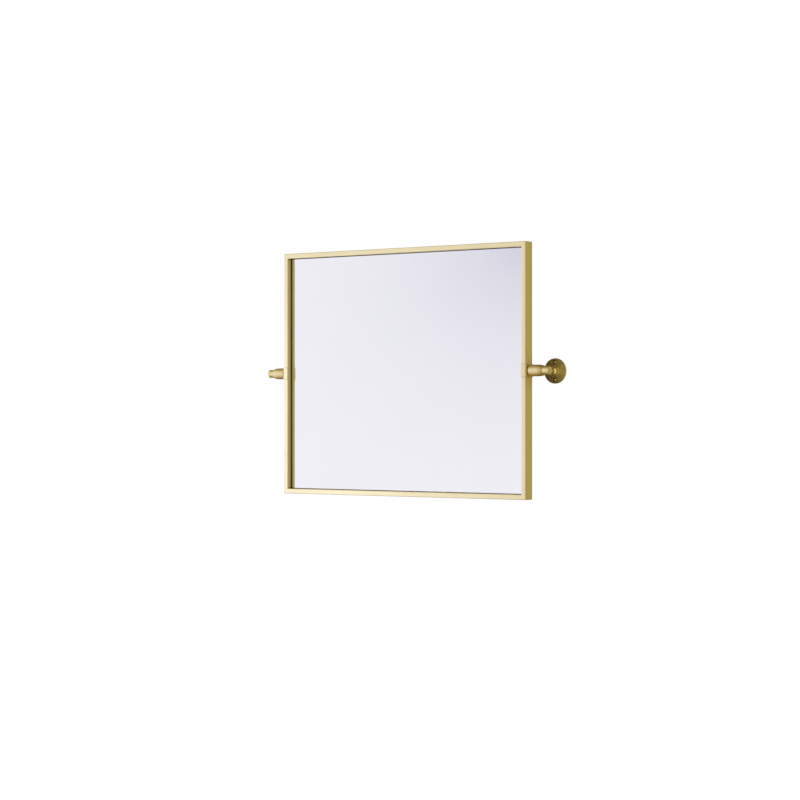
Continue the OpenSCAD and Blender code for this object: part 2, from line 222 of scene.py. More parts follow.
def copied(shape: bmesh.types.BMesh, places: Iterable[Matrix]) -> bmesh.types.BMesh:
    """Repeats a shape at several places, as one mesh of separate solids.

    Args:
        shape: The shape, which is freed.
        places: Where each copy goes.

    Returns:
        All the copies.
    """
    source = bpy.data.meshes.new("copied")
    shape.to_mesh(source)
    shape.free()
    result = bmesh.new()
    for place in places:
        first = len(result.verts)
        result.from_mesh(source)
        result.verts.ensure_lookup_table()
        bmesh.ops.transform(result, matrix=place, verts=result.verts[first:])
    bpy.data.meshes.remove(source)
    return result


def piece_of(name: str, shape: bmesh.types.BMesh, place: Matrix | None = None) -> bpy.types.Object:
    """Makes an object of a shape, smooth over its arcs and sharp at its real edges.

    Args:
        name: The piece's name.
        shape: The shape, which is freed.
        place: Where the piece's own axes lie in the scene.

    Returns:
        The object, linked to the scene.
    """
    mesh = bpy.data.meshes.new(name)
    shape.to_mesh(mesh)
    shape.free()
    mesh.shade_smooth()
    mesh.set_sharp_from_angle(angle=SHARP_EDGE)
    piece = bpy.data.objects.new(name, mesh)
    bpy.context.scene.collection.objects.link(piece)
    if place is not None:
        piece.matrix_world = place
    weighted = piece.modifiers.new("flat faces stay flat", "WEIGHTED_NORMAL")
    weighted.keep_sharp = True
    return piece


def cut_from(piece: bpy.types.Object, shape: bmesh.types.BMesh) -> None:
    """Cuts a shape, given in the piece's own axes, out of a piece for good.

    Args:
        piece: The piece to cut.
        shape: What is taken away; it is freed.
    """
    cutter = piece_of(piece.name + "_cutter", shape, piece.matrix_world.copy())
    cutter.modifiers.clear()
    weighted = piece.modifiers[0]
    weighted.show_viewport = False
    cut = piece.modifiers.new("cut", "BOOLEAN")
    cut.object = cutter
    cut.solver = "EXACT"
    bpy.context.view_layer.update()
    result = bpy.data.meshes.new_from_object(piece.evaluated_get(bpy.context.evaluated_depsgraph_get()))
    old = piece.data
    piece.modifiers.remove(cut)
    piece.data = result
    result.shade_smooth()
    result.set_sharp_from_angle(angle=SHARP_CUT)
    weighted.show_viewport = True
    bpy.data.meshes.remove(old)
    bpy.data.objects.remove(cutter)


# ---------------------------------------------------------------------------------------------
# Shader building
# ---------------------------------------------------------------------------------------------


class Graph:
    """Adds nodes to a node tree and links them by their sockets' names."""

    def __init__(self, tree: bpy.types.NodeTree) -> None:
        """Starts on a tree.

        Args:
            tree: The tree to build in.
        """
        self.tree = tree

    def add(self, kind: str, settings: dict[str, object] | None = None, **inputs: Feed) -> bpy.types.Node:
        """Adds one node.

        Args:
            kind: The node's type.
            settings: Its properties.
            **inputs: Values or sockets for its inputs, with underscores for spaces.

        Returns:
            The node.
        """
        node = self.tree.nodes.new(kind)
        for key, value in (settings or {}).items():
            setattr(node, key, value)
        for key, value in inputs.items():
            self.feed(node, key.replace("_", " "), value)
        return node

    def feed(self, node: bpy.types.Node, name: str | int, value: Feed) -> None:
        """Sets an input to a value, or links it to a socket.

        Args:
            node: The node.
            name: The input's name or number.
            value: A constant or an output socket.
        """
        socket = node.inputs[name]
        if isinstance(value, bpy.types.NodeSocket):
            self.tree.links.new(value, socket)
        else:
            socket.default_value = value

    def maths(self, operation: str, *values: Feed, clamp: bool = False) -> bpy.types.NodeSocket:
        """Works out one number from others.

        Args:
            operation: The operation's name.
            *values: Constants or sockets.
            clamp: Whether the result is kept from 0 to 1.

        Returns:
            The result's socket.
        """
        node = self.add("ShaderNodeMath", {"operation": operation, "use_clamp": clamp})
        for i, value in enumerate(values):
            self.feed(node, i, value)
        return node.outputs[0]

    def weighted(self, *parts: tuple[Feed, float]) -> bpy.types.NodeSocket:
        """Adds numbers up, each by its own weight.

        Args:
            *parts: Each number with its weight.

        Returns:
            The sum's socket.
        """
        products = [self.maths("MULTIPLY", value, weight) for value, weight in parts]
        return reduce(lambda first, second: self.maths("ADD", first, second), products)

    def vector(self, operation: str, *values: Feed) -> bpy.types.Node:
        """Works out one vector from others.

        Args:
            operation: The operation's name.
            *values: Constants or sockets.

        Returns:
            The node, for its Vector or Value output.
        """
        node = self.add("ShaderNodeVectorMath", {"operation": operation})
        for i, value in enumerate(values):
            self.feed(node, i, value)
        return node

    def ranged(
        self,
        value: Feed,
        low: float,
        high: float,
        to_low: float = 0.0,
        to_high: float = 1.0,
        smooth: bool = False,
    ) -> bpy.types.NodeSocket:
        """Maps a number from one range to another, and keeps it there.

        Args:
            value: The number's socket.
            low: Start of its range.
            high: End of its range.
            to_low: What low becomes.
            to_high: What high becomes.
            smooth: Whether both ends are eased.

        Returns:
            The result's socket.
        """
        easing = {"interpolation_type": "SMOOTHSTEP" if smooth else "LINEAR"}
        limits = {"From_Min": low, "From_Max": high, "To_Min": to_low, "To_Max": to_high}
        return self.add("ShaderNodeMapRange", easing, Value=value, **limits).outputs["Result"]

    def field(self, *limits: tuple[bpy.types.NodeSocket, Span]) -> bpy.types.NodeSocket:
        """Marks where each of some measures lies in its span, with soft edges.

        Args:
            *limits: The measures, each with its span.

        Returns:
            The mask's socket.
        """
        masks = [self.ranged(measure, start, whole, smooth=True) for measure, (start, whole) in limits]
        return reduce(lambda first, second: self.maths("MULTIPLY", first, second), masks)

    def mixed(self, share: Feed, first: Feed, second: Feed) -> bpy.types.NodeSocket:
        """Mixes two colours.

        Args:
            share: How much of the second, from 0 to 1.
            first: A colour or socket.
            second: A colour or socket.

        Returns:
            The mixed colour's socket.
        """
        node = self.add("ShaderNodeMix", {"data_type": "RGBA"})
        self.feed(node, MIX_SHARE, share)
        for number, colour in ((MIX_FIRST, first), (MIX_SECOND, second)):
            self.feed(node, number, colour if isinstance(colour, bpy.types.NodeSocket) else (*colour, 1.0))
        return node.outputs[MIX_COLOUR]

    def noise(
        self, place: bpy.types.NodeSocket, scale: float, detail: float = 2.0, roughness: float = 0.5
    ) -> bpy.types.NodeSocket:
        """Adds a noise texture.

        Args:
            place: The coordinates' socket.
            scale: How fine it is.
            detail: How many finer layers it has.
            roughness: How strong the finer layers are.

        Returns:
            Its value's socket.
        """
        node = self.add("ShaderNodeTexNoise", Vector=place, Scale=scale, Detail=detail, Roughness=roughness)
        return node.outputs[0]


class SharedEffect:
    """A shader node group that is built once and placed in many materials."""

    built: dict[str, bpy.types.NodeTree] = {}

    @classmethod
    def group(
        cls,
        name: str,
        takes: dict[str, tuple[str, object]],
        gives: dict[str, str],
        build: Callable[[Graph, bpy.types.Node, bpy.types.Node], None],
    ) -> bpy.types.NodeTree:
        """Returns a named group, and builds it the first time.

        Args:
            name: The group's name.
            takes: Each input's kind and default.
            gives: Each output's kind.
            build: Fills the group between its input and output nodes.

        Returns:
            The group.
        """
        if name in cls.built:
            return cls.built[name]
        tree = bpy.data.node_groups.new(name, "ShaderNodeTree")
        for label, (kind, default) in takes.items():
            socket = tree.interface.new_socket(label, in_out="INPUT", socket_type=kind)
            if default is not None:
                socket.default_value = default
        for label, kind in gives.items():
            tree.interface.new_socket(label, in_out="OUTPUT", socket_type=kind)
        graph = Graph(tree)
        build(graph, graph.add("NodeGroupInput"), graph.add("NodeGroupOutput"))
        cls.built[name] = tree
        return tree

    @classmethod
    def brushed(cls) -> bpy.types.NodeTree:
        """Fine streaks along one way, with a few broader ones among them.

        Returns:
            The group.
        """

        def build(g: Graph, source: bpy.types.Node, target: bpy.types.Node) -> None:
            """Fills the group.

            Args:
                g: The group's graph.
                source: Its input node.
                target: Its output node.
            """
            fine = g.vector("MULTIPLY", source.outputs["Place"], source.outputs["Scale"]).outputs[0]
            broad = g.add("ShaderNodeVectorMath", {"operation": "SCALE"}, Vector=fine, Scale=0.21)
            hair = g.noise(fine, scale=1.0, detail=3.0, roughness=0.6)
            band = g.noise(broad.outputs[0], scale=1.0, detail=2.0, roughness=0.5)
            streak = g.weighted((hair, 0.62), (band, 0.38))
            g.feed(target, "Streak", g.ranged(streak, 0.3, 0.7))
            g.feed(target, "Height", streak)

        takes = {"Place": ("NodeSocketVector", None), "Scale": ("NodeSocketVector", Grain.ALONG_X.value)}
        gives = {"Streak": "NodeSocketFloat", "Height": "NodeSocketFloat"}
        return cls.group("brushed grain", takes, gives, build)

    @classmethod
    def turned(cls) -> bpy.types.NodeTree:
        """Rings left by a turning tool, about the piece's own Z axis.

        Returns:
            The group.
        """

        def build(g: Graph, source: bpy.types.Node, target: bpy.types.Node) -> None:
            """Fills the group.

            Args:
                g: The group's graph.
                source: Its input node.
                target: Its output node.
            """
            x, y, z = g.add("ShaderNodeSeparateXYZ", Vector=source.outputs["Place"]).outputs
            radius = g.maths("SQRT", g.maths("ADD", g.maths("POWER", x, 2.0), g.maths("POWER", y, 2.0)))
            wobble = g.maths("MULTIPLY", g.noise(source.outputs["Place"], scale=90.0, detail=1.0), 1.2 * MM)
            out, along = g.maths("ADD", radius, wobble), g.maths("ADD", z, wobble)
            ring = g.add("ShaderNodeCombineXYZ", X=out, Z=along)
            fine = g.vector("MULTIPLY", ring.outputs[0], source.outputs["Scale"]).outputs[0]
            streak = g.noise(fine, scale=1.0, detail=3.0, roughness=0.55)
            g.feed(target, "Streak", g.ranged(streak, 0.3, 0.7))
            g.feed(target, "Height", streak)

        takes = {"Place": ("NodeSocketVector", None), "Scale": ("NodeSocketVector", Grain.TURNED.value)}
        gives = {"Streak": "NodeSocketFloat", "Height": "NodeSocketFloat"}
        return cls.group("turned grain", takes, gives, build)

    @classmethod
    def worn_edges(cls) -> bpy.types.NodeTree:
        """A mask that is bright where a convex edge is rubbed, broken up by noise.

        Returns:
            The group.
        """

        def build(g: Graph, source: bpy.types.Node, target: bpy.types.Node) -> None:
            """Fills the group.

            Args:
                g: The group's graph.
                source: Its input node.
                target: Its output node.
            """
            soft = g.add("ShaderNodeBevel", {"samples": 4}, Radius=source.outputs["Width"])
            hard = g.add("ShaderNodeNewGeometry")
            alike = g.vector("DOT_PRODUCT", soft.outputs[0], hard.outputs["Normal"]).outputs["Value"]
            edge = g.ranged(alike, 0.995, 0.8)
            patches = g.noise(source.outputs["Place"], scale=160.0, detail=3.0, roughness=0.6)
            patchy = g.ranged(patches, 0.38, 0.66)
            g.feed(target, "Mask", g.maths("MULTIPLY", edge, patchy, clamp=True))

        takes = {"Place": ("NodeSocketVector", None), "Width": ("NodeSocketFloat", 0.5 * MM)}
        return cls.group("worn edges", takes, {"Mask": "NodeSocketFloat"}, build)

    @classmethod
    def clouding(cls) -> bpy.types.NodeTree:
        """Slow, soft variation over a surface, as of handling and an uneven lacquer.

        Returns:
            The group.
        """

        def build(g: Graph, source: bpy.types.Node, target: bpy.types.Node) -> None:
            """Fills the group.

            Args:
                g: The group's graph.
                source: Its input node.
                target: Its output node.
            """
            slow = g.noise(source.outputs["Place"], scale=9.0, detail=2.0, roughness=0.5)
            quick = g.noise(source.outputs["Place"], scale=55.0, detail=3.0, roughness=0.6)
            both = g.weighted((slow, 0.7), (quick, 0.3))
            g.feed(target, "Cloud", g.ranged(both, 0.32, 0.68, smooth=True))

        takes = {"Place": ("NodeSocketVector", None)}
        return cls.group("clouding", takes, {"Cloud": "NodeSocketFloat"}, build)

    @classmethod
    def fine_dust(cls) -> bpy.types.NodeTree:
        """A faint mask of dust on what faces up.

        Returns:
            The group.
        """

        def build(g: Graph, source: bpy.types.Node, target: bpy.types.Node) -> None:
            """Fills the group.

            Args:
                g: The group's graph.
                source: Its input node.
                target: Its output node.
            """
            facing = g.add("ShaderNodeSeparateXYZ", Vector=g.add("ShaderNodeNewGeometry").outputs["Normal"])
            up = g.ranged(facing.outputs["Z"], 0.35, 1.0, smooth=True)
            specks = g.noise(source.outputs["Place"], scale=700.0, detail=2.0, roughness=0.7)
            g.feed(target, "Mask", g.maths("MULTIPLY", up, g.ranged(specks, 0.45, 0.75), clamp=True))

        takes = {"Place": ("NodeSocketVector", None)}
        return cls.group("fine dust", takes, {"Mask": "NodeSocketFloat"}, build)


# ---------------------------------------------------------------------------------------------
# Finishes
# ---------------------------------------------------------------------------------------------


DUST_GREY: Colour = (0.6, 0.58, 0.54)


class MaterialGraph(Graph):
    """A material's graph, with its shader and the shared effects that feed it."""

    def __init__(self, material: bpy.types.Material) -> None:
        """Starts a material's nodes afresh.

        Args:
            material: The material.
        """
        material.use_nodes = True
        material.node_tree.nodes.clear()
        super().__init__(material.node_tree)
        self.shader = self.add("ShaderNodeBsdfPrincipled")
        self.add("ShaderNodeOutputMaterial", Surface=self.shader.outputs[0])
        self.place = self.add("ShaderNodeTexCoord").outputs["Object"]

    def effect(self, group: bpy.types.NodeTree, **inputs: Feed) -> bpy.types.Node:
        """Places a shared effect, fed with the place on the piece.

        Args:
            group: The effect's node group.
            **inputs: Values or sockets for its other inputs.

        Returns:
            The group's node.
        """
        return self.add("ShaderNodeGroup", {"node_tree": group}, Place=self.place, **inputs)

    def clouds(self) -> bpy.types.NodeSocket:
        """Places the clouding and returns its mask."""
        return self.effect(SharedEffect.clouding()).outputs["Cloud"]

    def rubbed_edges(self, width: float) -> bpy.types.NodeSocket:
        """Places edge wear of some width and returns its mask."""
        return self.effect(SharedEffect.worn_edges(), Width=width).outputs["Mask"]

    def dust(self) -> bpy.types.NodeSocket:
        """Places the dust and returns its mask."""
        return self.effect(SharedEffect.fine_dust()).outputs["Mask"]

    def colour(self, value: bpy.types.NodeSocket) -> None:
        """Feeds the shader's colour."""
        self.feed(self.shader, "Base Color", value)

    def roughness(self, value: bpy.types.NodeSocket) -> None:
        """Feeds the shader's roughness."""
        self.feed(self.shader, "Roughness", value)

    def relief(self, height: bpy.types.NodeSocket, strength: float, depth: float) -> None:
        """Feeds the shader's normal from a fine relief.

        Args:
            height: The relief's height, from 0 to 1.
            strength: How much of it shows.
            depth: The distance between its lowest and highest points.
        """
        bump = self.add("ShaderNodeBump", Strength=strength, Distance=depth, Height=height)
        self.feed(self.shader, "Normal", bump.outputs[0])

    def constants(self, **values: Feed) -> None:
        """Sets what is the same all over the surface on the shader's own sockets.

        Args:
            **values: The constants, with underscores for spaces in the sockets' names.
        """
        for name, value in values.items():
            self.shader.inputs[name.replace("_", " ")].default_value = value


@dataclass(frozen=True)
class Finish:
    """What all finishes share: a name, and a material that is built once."""

    name: str

    def material(self) -> bpy.types.Material:
        """Gives the finish's material, which is built the first time.

        Returns:
            The material.
        """
        material = bpy.data.materials.get(self.name)
        if material is None:
            material = bpy.data.materials.new(self.name)
            self.build(MaterialGraph(material))
        return material

    def build(self, m: MaterialGraph) -> None:
        """Feeds the material's shader; each finish does this in its own way."""
        raise NotImplementedError

    def dress(self, piece: bpy.types.Object) -> None:
        """Gives a piece this finish on all its faces.

        Args:
            piece: The piece or the model's own node.
        """
        if not piece.data.materials:
            piece.data.materials.append(None)
        for slot in piece.material_slots:
            slot.material = self.material()


@dataclass(frozen=True)
class SatinBrass(Finish):
    """Champagne-gold brass, brushed or turned to a satin, under a thin clear coat."""

    grain: Grain = Grain.ALONG_X
    face: Colour = (0.90, 0.765, 0.411)
    deep: Colour = (0.825, 0.687, 0.359)
    worn: Colour = (0.95, 0.85, 0.53)
    smoothest: float = 0.33
    roughest: float = 0.43
    depth: float = 0.012 * MM
    edge_w: float = 0.5 * MM
    rubbing: float = 0.5
    dusting: float = 0.05
    dust_roughness: float = 0.08

    def build(self, m: MaterialGraph) -> None:
        """Feeds the shader from the grain, the clouding, the worn edges and the dust.

        Args:
            m: The material's graph.
        """
        kind = SharedEffect.turned() if self.grain is Grain.TURNED else SharedEffect.brushed()
        grain = m.effect(kind, Scale=self.grain.value)
        streak, cloud, dust = grain.outputs["Streak"], m.clouds(), m.dust()
        brushed = m.mixed(m.weighted((streak, 0.45), (cloud, 0.35)), self.face, self.deep)
        wear = m.maths("MULTIPLY", m.rubbed_edges(self.edge_w), self.rubbing)
        rubbed = m.mixed(wear, brushed, self.worn)
        m.colour(m.mixed(m.maths("MULTIPLY", dust, self.dusting), rubbed, DUST_GREY))
        satin = m.ranged(m.weighted((streak, 0.6), (cloud, 0.4)), 0.0, 1.0, self.smoothest, self.roughest)
        m.roughness(m.maths("MULTIPLY_ADD", dust, self.dust_roughness, satin))
        m.relief(grain.outputs["Height"], strength=0.35, depth=self.depth)
        m.constants(Metallic=1.0, Coat_Weight=0.12, Coat_Roughness=0.25)


@dataclass(frozen=True)
class FloatGlass(Finish):
    """Clear float glass with a faint cast in its thickness."""

    clear: Colour = (0.985, 0.992, 0.99)
    clearest: Colour = (0.992, 0.995, 0.995)

    def build(self, m: MaterialGraph) -> None:
        """Feeds the shader a clear colour that hardly varies."""
        m.colour(m.mixed(m.clouds(), self.clear, self.clearest))
        m.constants(Roughness=0.0, IOR=1.5, Transmission_Weight=1.0)


@dataclass(frozen=True)
class ShadedGlassEdge(Finish):
    """The ground edge of the glass, coloured dark and a little green as painted shade where the glass meets
    the frame.
    """

    pit: Colour = (0.030, 0.034, 0.024)
    crest: Colour = (0.060, 0.066, 0.048)

    def build(self, m: MaterialGraph) -> None:
        """Feeds the shader from the fine pits that grinding leaves.

        Args:
            m: The material's graph.
        """
        pits = m.ranged(m.noise(m.place, scale=1800.0, detail=3.0, roughness=0.6), 0.3, 0.7)
        m.colour(m.mixed(pits, self.pit, self.crest))
        m.roughness(m.ranged(pits, 0.0, 1.0, 0.55, 0.75))


@dataclass(frozen=True)
class Silvering(Finish):
    """The silver layer behind the glass, with a slight unevenness that only a close look finds."""

    dull: Colour = (0.955, 0.955, 0.96)
    bright: Colour = (0.965, 0.965, 0.968)

    def build(self, m: MaterialGraph) -> None:
        """Feeds the shader a bright, hardly varying colour."""
        m.colour(m.mixed(m.clouds(), self.dull, self.bright))
        m.constants(Metallic=1.0, Roughness=0.0)


@dataclass(frozen=True)
class BackPaint(Finish):
    """Grey-green paint that seals the silver from behind."""

    dark: Colour = (0.16, 0.18, 0.17)
    light: Colour = (0.21, 0.23, 0.22)

    def build(self, m: MaterialGraph) -> None:
        """Feeds the shader a mottled paint."""
        m.colour(m.mixed(m.clouds(), self.dark, self.light))
        m.constants(Roughness=0.55)


@dataclass(frozen=True)
class PressedBoard(Finish):
    """Dense brown fibreboard with short fibres pressed flat."""

    between: Colour = (0.052, 0.034, 0.021)
    fibre: Colour = (0.135, 0.092, 0.056)
    stain: Colour = (0.065, 0.045, 0.03)
    staining: float = 0.3

    def build(self, m: MaterialGraph) -> None:
        """Feeds the shader from two layers of fibres and slow clouds.

        Args:
            m: The material's graph.
        """
        layers = []
        for stretch in ((260.0, 700.0, 900.0), (950.0, 700.0, 240.0)):
            along = m.vector("MULTIPLY", m.place, stretch).outputs[0]
            layers.append(m.noise(along, scale=1.0, detail=4.0, roughness=0.65))
        fibres = m.maths("MAXIMUM", *layers)
        shown = m.ranged(fibres, 0.45, 0.78)
        brown = m.mixed(shown, self.between, self.fibre)
        m.colour(m.mixed(m.maths("MULTIPLY", m.clouds(), self.staining), brown, self.stain))
        m.roughness(m.ranged(shown, 0.0, 1.0, 0.62, 0.82))
        m.relief(fibres, strength=0.4, depth=0.06 * MM)


@dataclass(frozen=True)
class ZincPlate(Finish):
    """Bright zinc on steel, a little blotchy, for the hardware inside and behind."""

    dull: Colour = (0.60, 0.61, 0.62)
    bright: Colour = (0.74, 0.75, 0.76)
    yellowed: Colour = (0.62, 0.60, 0.52)
    yellowing: float = 0.3
    worn: Colour = (0.85, 0.85, 0.85)
    edge_w: float = 0.3 * MM
    rubbing: float = 0.6

    def build(self, m: MaterialGraph) -> None:
        """Feeds the shader from the clouding and the worn edges.

        Args:
            m: The material's graph.
        """
        spangle = m.ranged(m.noise(m.place, scale=420.0, detail=3.0, roughness=0.6), 0.35, 0.65)
        plate = m.mixed(spangle, self.dull, self.bright)
        tinted = m.mixed(m.maths("MULTIPLY", m.clouds(), self.yellowing), plate, self.yellowed)
        wear = m.maths("MULTIPLY", m.rubbed_edges(self.edge_w), self.rubbing)
        m.colour(m.mixed(wear, tinted, self.worn))
        m.roughness(m.ranged(spangle, 0.0, 1.0, 0.28, 0.46))
        m.relief(spangle, strength=0.2, depth=0.02 * MM)
        m.constants(Metallic=1.0)


@dataclass(frozen=True)
class PlainSolid(Finish):
    """A moulded or foamed material, such as rubber, nylon or foam, with its own fine grit."""

    dark: Colour = (0.02, 0.02, 0.02)
    light: Colour = (0.05, 0.05, 0.05)
    grit: float = 900.0
    roughness: float = 0.6
    unevenness: float = 0.08

    def build(self, m: MaterialGraph) -> None:
        """Feeds the shader from fine grit and slow clouds.

        Args:
            m: The material's graph.
        """
        grain = m.noise(m.place, scale=self.grit, detail=3.0, roughness=0.6)
        share = m.weighted((m.ranged(grain, 0.3, 0.7), 0.6), (m.clouds(), 0.4))
        m.colour(m.mixed(share, self.dark, self.light))
        smoothest, roughest = self.roughness - self.unevenness, self.roughness + self.unevenness
        m.roughness(m.ranged(share, 0.0, 1.0, smoothest, roughest))
        m.relief(grain, strength=0.3, depth=0.03 * MM)


@dataclass(frozen=True)
class StudioPaint(Finish):
    """Plain matt paint with a breath of unevenness, lifted a little by its own light."""

    dark: Colour = (0.80, 0.80, 0.80)
    light: Colour = (0.82, 0.82, 0.82)
    glow: Colour = (0.25, 0.25, 0.25)

    def build(self, m: MaterialGraph) -> None:
        """Feeds the shader a hardly varying colour and a plain glow."""
        m.colour(m.mixed(m.clouds(), self.dark, self.light))
        m.constants(Roughness=0.8, Emission_Color=(*self.glow, 1.0), Emission_Strength=1.0)


FRAME_ALONG_X = SatinBrass("satin brass brushed along x", Grain.ALONG_X)
FRAME_ALONG_Z = SatinBrass("satin brass brushed along z", Grain.ALONG_Z)
CLIP_BRASS = SatinBrass(
    "satin brass of the clips",
    Grain.ALONG_Z,
    face=(0.88, 0.745, 0.392),
    deep=(0.81, 0.675, 0.345),
)
# Near-black brass for the clips' eased edges and their top and bottom faces: painted shade, for the dark
# lines along the clip's edges.
CLIP_EDGE_SHADE_BRASS = SatinBrass(
    "clip edges darkened with painted shade",
    Grain.ALONG_Z,
    face=(0.26, 0.21, 0.10),
    deep=(0.20, 0.16, 0.075),
)
# The same brass as the rest, with its colour darkened as painted shade where the flanges mirror the dark
# back of the mirror.
FLANGE_SHADE_BRASS = SatinBrass(
    "flange brass darkened with painted shade",
    Grain.TURNED,
    face=(0.68, 0.57, 0.275),
    deep=(0.59, 0.49, 0.225),
    smoothest=0.45,
    roughest=0.55,
)
# Near-black brass for the countersinks: painted shade in the holes.
HOLE_SHADE_BRASS = SatinBrass(
    "dull brass of the countersinks",
    Grain.TURNED,
    face=(0.18, 0.14, 0.066),
    deep=(0.13, 0.10, 0.045),
    worn=(0.24, 0.19, 0.09),
    smoothest=0.5,
    roughest=0.6,
)
POST_BRASS = SatinBrass(
    "bright turned brass of the posts",
    Grain.TURNED,
    face=(0.92, 0.79, 0.45),
    deep=(0.845, 0.71, 0.39),
    smoothest=0.18,
    roughest=0.26,
)
TURNED_BRASS = SatinBrass(
    "turned satin brass",
    Grain.TURNED,
    face=(0.92, 0.76, 0.39),
    deep=(0.845, 0.685, 0.34),
)
BRONZE = SatinBrass(
    "dull turned bronze",
    Grain.TURNED,
    face=(0.66, 0.52, 0.28),
    deep=(0.56, 0.43, 0.22),
    worn=(0.8, 0.66, 0.4),
    smoothest=0.42,
    roughest=0.52,
)
GLASS = FloatGlass("clear float glass")
GLASS_EDGE_SHADE = ShadedGlassEdge("glass edge darkened with painted shade")
SILVER = Silvering("silver layer")
BACK_PAINT = BackPaint("sealing paint")
BOARD = PressedBoard("pressed fibreboard")
ZINC = ZincPlate("zinc plated steel")
RUBBER = PlainSolid("black rubber", (0.012, 0.012, 0.013), (0.03, 0.03, 0.032), grit=1200.0, roughness=0.62)
FOAM = PlainSolid("foam tape", (0.03, 0.03, 0.032), (0.07, 0.07, 0.072), grit=500.0, roughness=0.85)
NYLON = PlainSolid("natural nylon", (0.62, 0.60, 0.53), (0.74, 0.72, 0.66), grit=700.0, roughness=0.45)
FLOOR_PAINT = StudioPaint("pale studio floor")
# The wall scraps' dark brown is painted shade and their amber glow is painted light, for what shows through
# the screw holes.
SCRAP_SHADE_AND_GLOW = StudioPaint("scrap with painted shade and glow", (0.30, 0.26, 0.17), (0.34, 0.30, 0.20), glow=(0.24, 0.185, 0.08))


# ---------------------------------------------------------------------------------------------
# Sub-assemblies
# ---------------------------------------------------------------------------------------------


def dress_node(node: str, finish: Finish) -> bpy.types.Object:
    """Gives a finish to one of the model's own nodes, which keeps its shape.

    Args:
        node: The node's name.
        finish: Its finish.

    Returns:
        The node's object.
    """
    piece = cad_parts[node]
    finish.dress(piece)
    log.info("%s: dressed in %s", node, finish.name)
    return piece


def place_piece(
    piece: bpy.types.Object, body: str, finish: Finish, nodes: Iterable[str]
) -> bpy.types.Object:
    """Dresses a piece and ties it to the model.

    Args:
        piece: The piece, in its place.
        body: The body that it rides on.
        finish: Its finish.
        nodes: The model's nodes that it stands for.

    Returns:
        The piece.
    """
    finish.dress(piece)
    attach(piece, body)
    names = list(nodes)
    if names:
        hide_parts(*names)
    stands_for = ", ".join(names) or "detail"
    log.info("%s: %d faces on body %s, for %s", piece.name, len(piece.data.polygons), body, stands_for)
    return piece


def along_pivot(side: Side) -> Matrix:
    """Local +Z runs outward along the pivot's axis from the stile's outer side.

    Args:
        side: Which side of the mirror.

    Returns:
        The local axes' place in the scene.
    """
    low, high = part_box(f"{side.word}_pivot_stud")
    middle = (low + high) / 2
    stile_low, stile_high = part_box(f"frame_{side.word}_stile")
    outer = stile_high.x if side is Side.RIGHT else stile_low.x
    outward = Matrix.Rotation(side.value * math.pi / 2, 4, "Y")
    return Matrix.Translation((outer, middle.y, middle.z)) @ outward


def along_post(side: Side) -> Matrix:
    """Local +Z runs along the post's axis from the wall to the room, and local +Y is up.

    Args:
        side: Which side of the mirror.

    Returns:
        The local axes' place in the scene.
    """
    low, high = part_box(f"{side.word}_flange")
    on_wall = Vector(((low.x + high.x) / 2, high.y, (low.z + high.z) / 2))
    return Matrix.Translation(on_wall) @ Matrix.Rotation(math.pi / 2, 4, "X")


@dataclass
class MirrorFrame:
    """The mitred tube frame, whose shape the model already holds."""

    def build(self) -> list[bpy.types.Object]:
        """Dresses the four members, each brushed along its own length.

        Returns:
            The members.
        """
        rails = [dress_node(f"frame_{end}_rail", FRAME_ALONG_X) for end in ("top", "bottom")]
        stiles = [dress_node(f"frame_{side.word}_stile", FRAME_ALONG_Z) for side in Side]
        return rails + stiles


@dataclass
class GlassPack:
    """The mirror glass with its silver layer, and the board behind it."""

    silver_t: float = 0.05 * MM
    air: float = 0.01 * MM
    ease: float = 0.3 * MM
    margin: float = 1.1 * MM
    board_ease: float = 0.4 * MM

    def build(self) -> bpy.types.Object:
        """Builds the glass, the silver layer and the board.

        Returns:
            The board.
        """
        self.glass()
        self.silver()
        dress_node("glass_tape", FOAM)
        board = slab(*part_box("backing_board"), self.board_ease)
        return place_piece(piece_of("back_board", board), "mirror", BOARD, ["backing_board"])

    def glass(self) -> None:
        """Builds the clear plate, with ground edges coloured dark as painted shade."""
        low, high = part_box("mirror_glass")
        plate_back = high.y - self.silver_t - self.air
        plate = piece_of("glass_plate", slab(low, Vector((high.x, plate_back, high.z)), self.ease))
        place_piece(plate, "mirror", GLASS, ["mirror_glass"])
        # The ground edges take the dark edge colour: painted shade where the glass meets the frame.
        plate.data.materials.append(GLASS_EDGE_SHADE.material())
        for face in plate.data.polygons:
            face.material_index = 0 if abs(face.normal.y) > SQUARE_ON else 1

    def silver(self) -> None:
        """Builds the silver layer behind the plate, painted on its back and short of the ground edges."""
        low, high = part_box("mirror_glass")
        inset = Vector((self.margin, 0, self.margin))
        front = Vector((low.x, high.y - self.silver_t, low.z))
        layer = piece_of("silver_layer", slab(front + inset, high - inset, self.silver_t / 5))
        place_piece(layer, "mirror", SILVER, [])
        layer.data.materials.append(BACK_PAINT.material())
        for face in layer.data.polygons:
            face.material_index = 1 if face.normal.y > 0.5 else 0  # the back and its eased edges


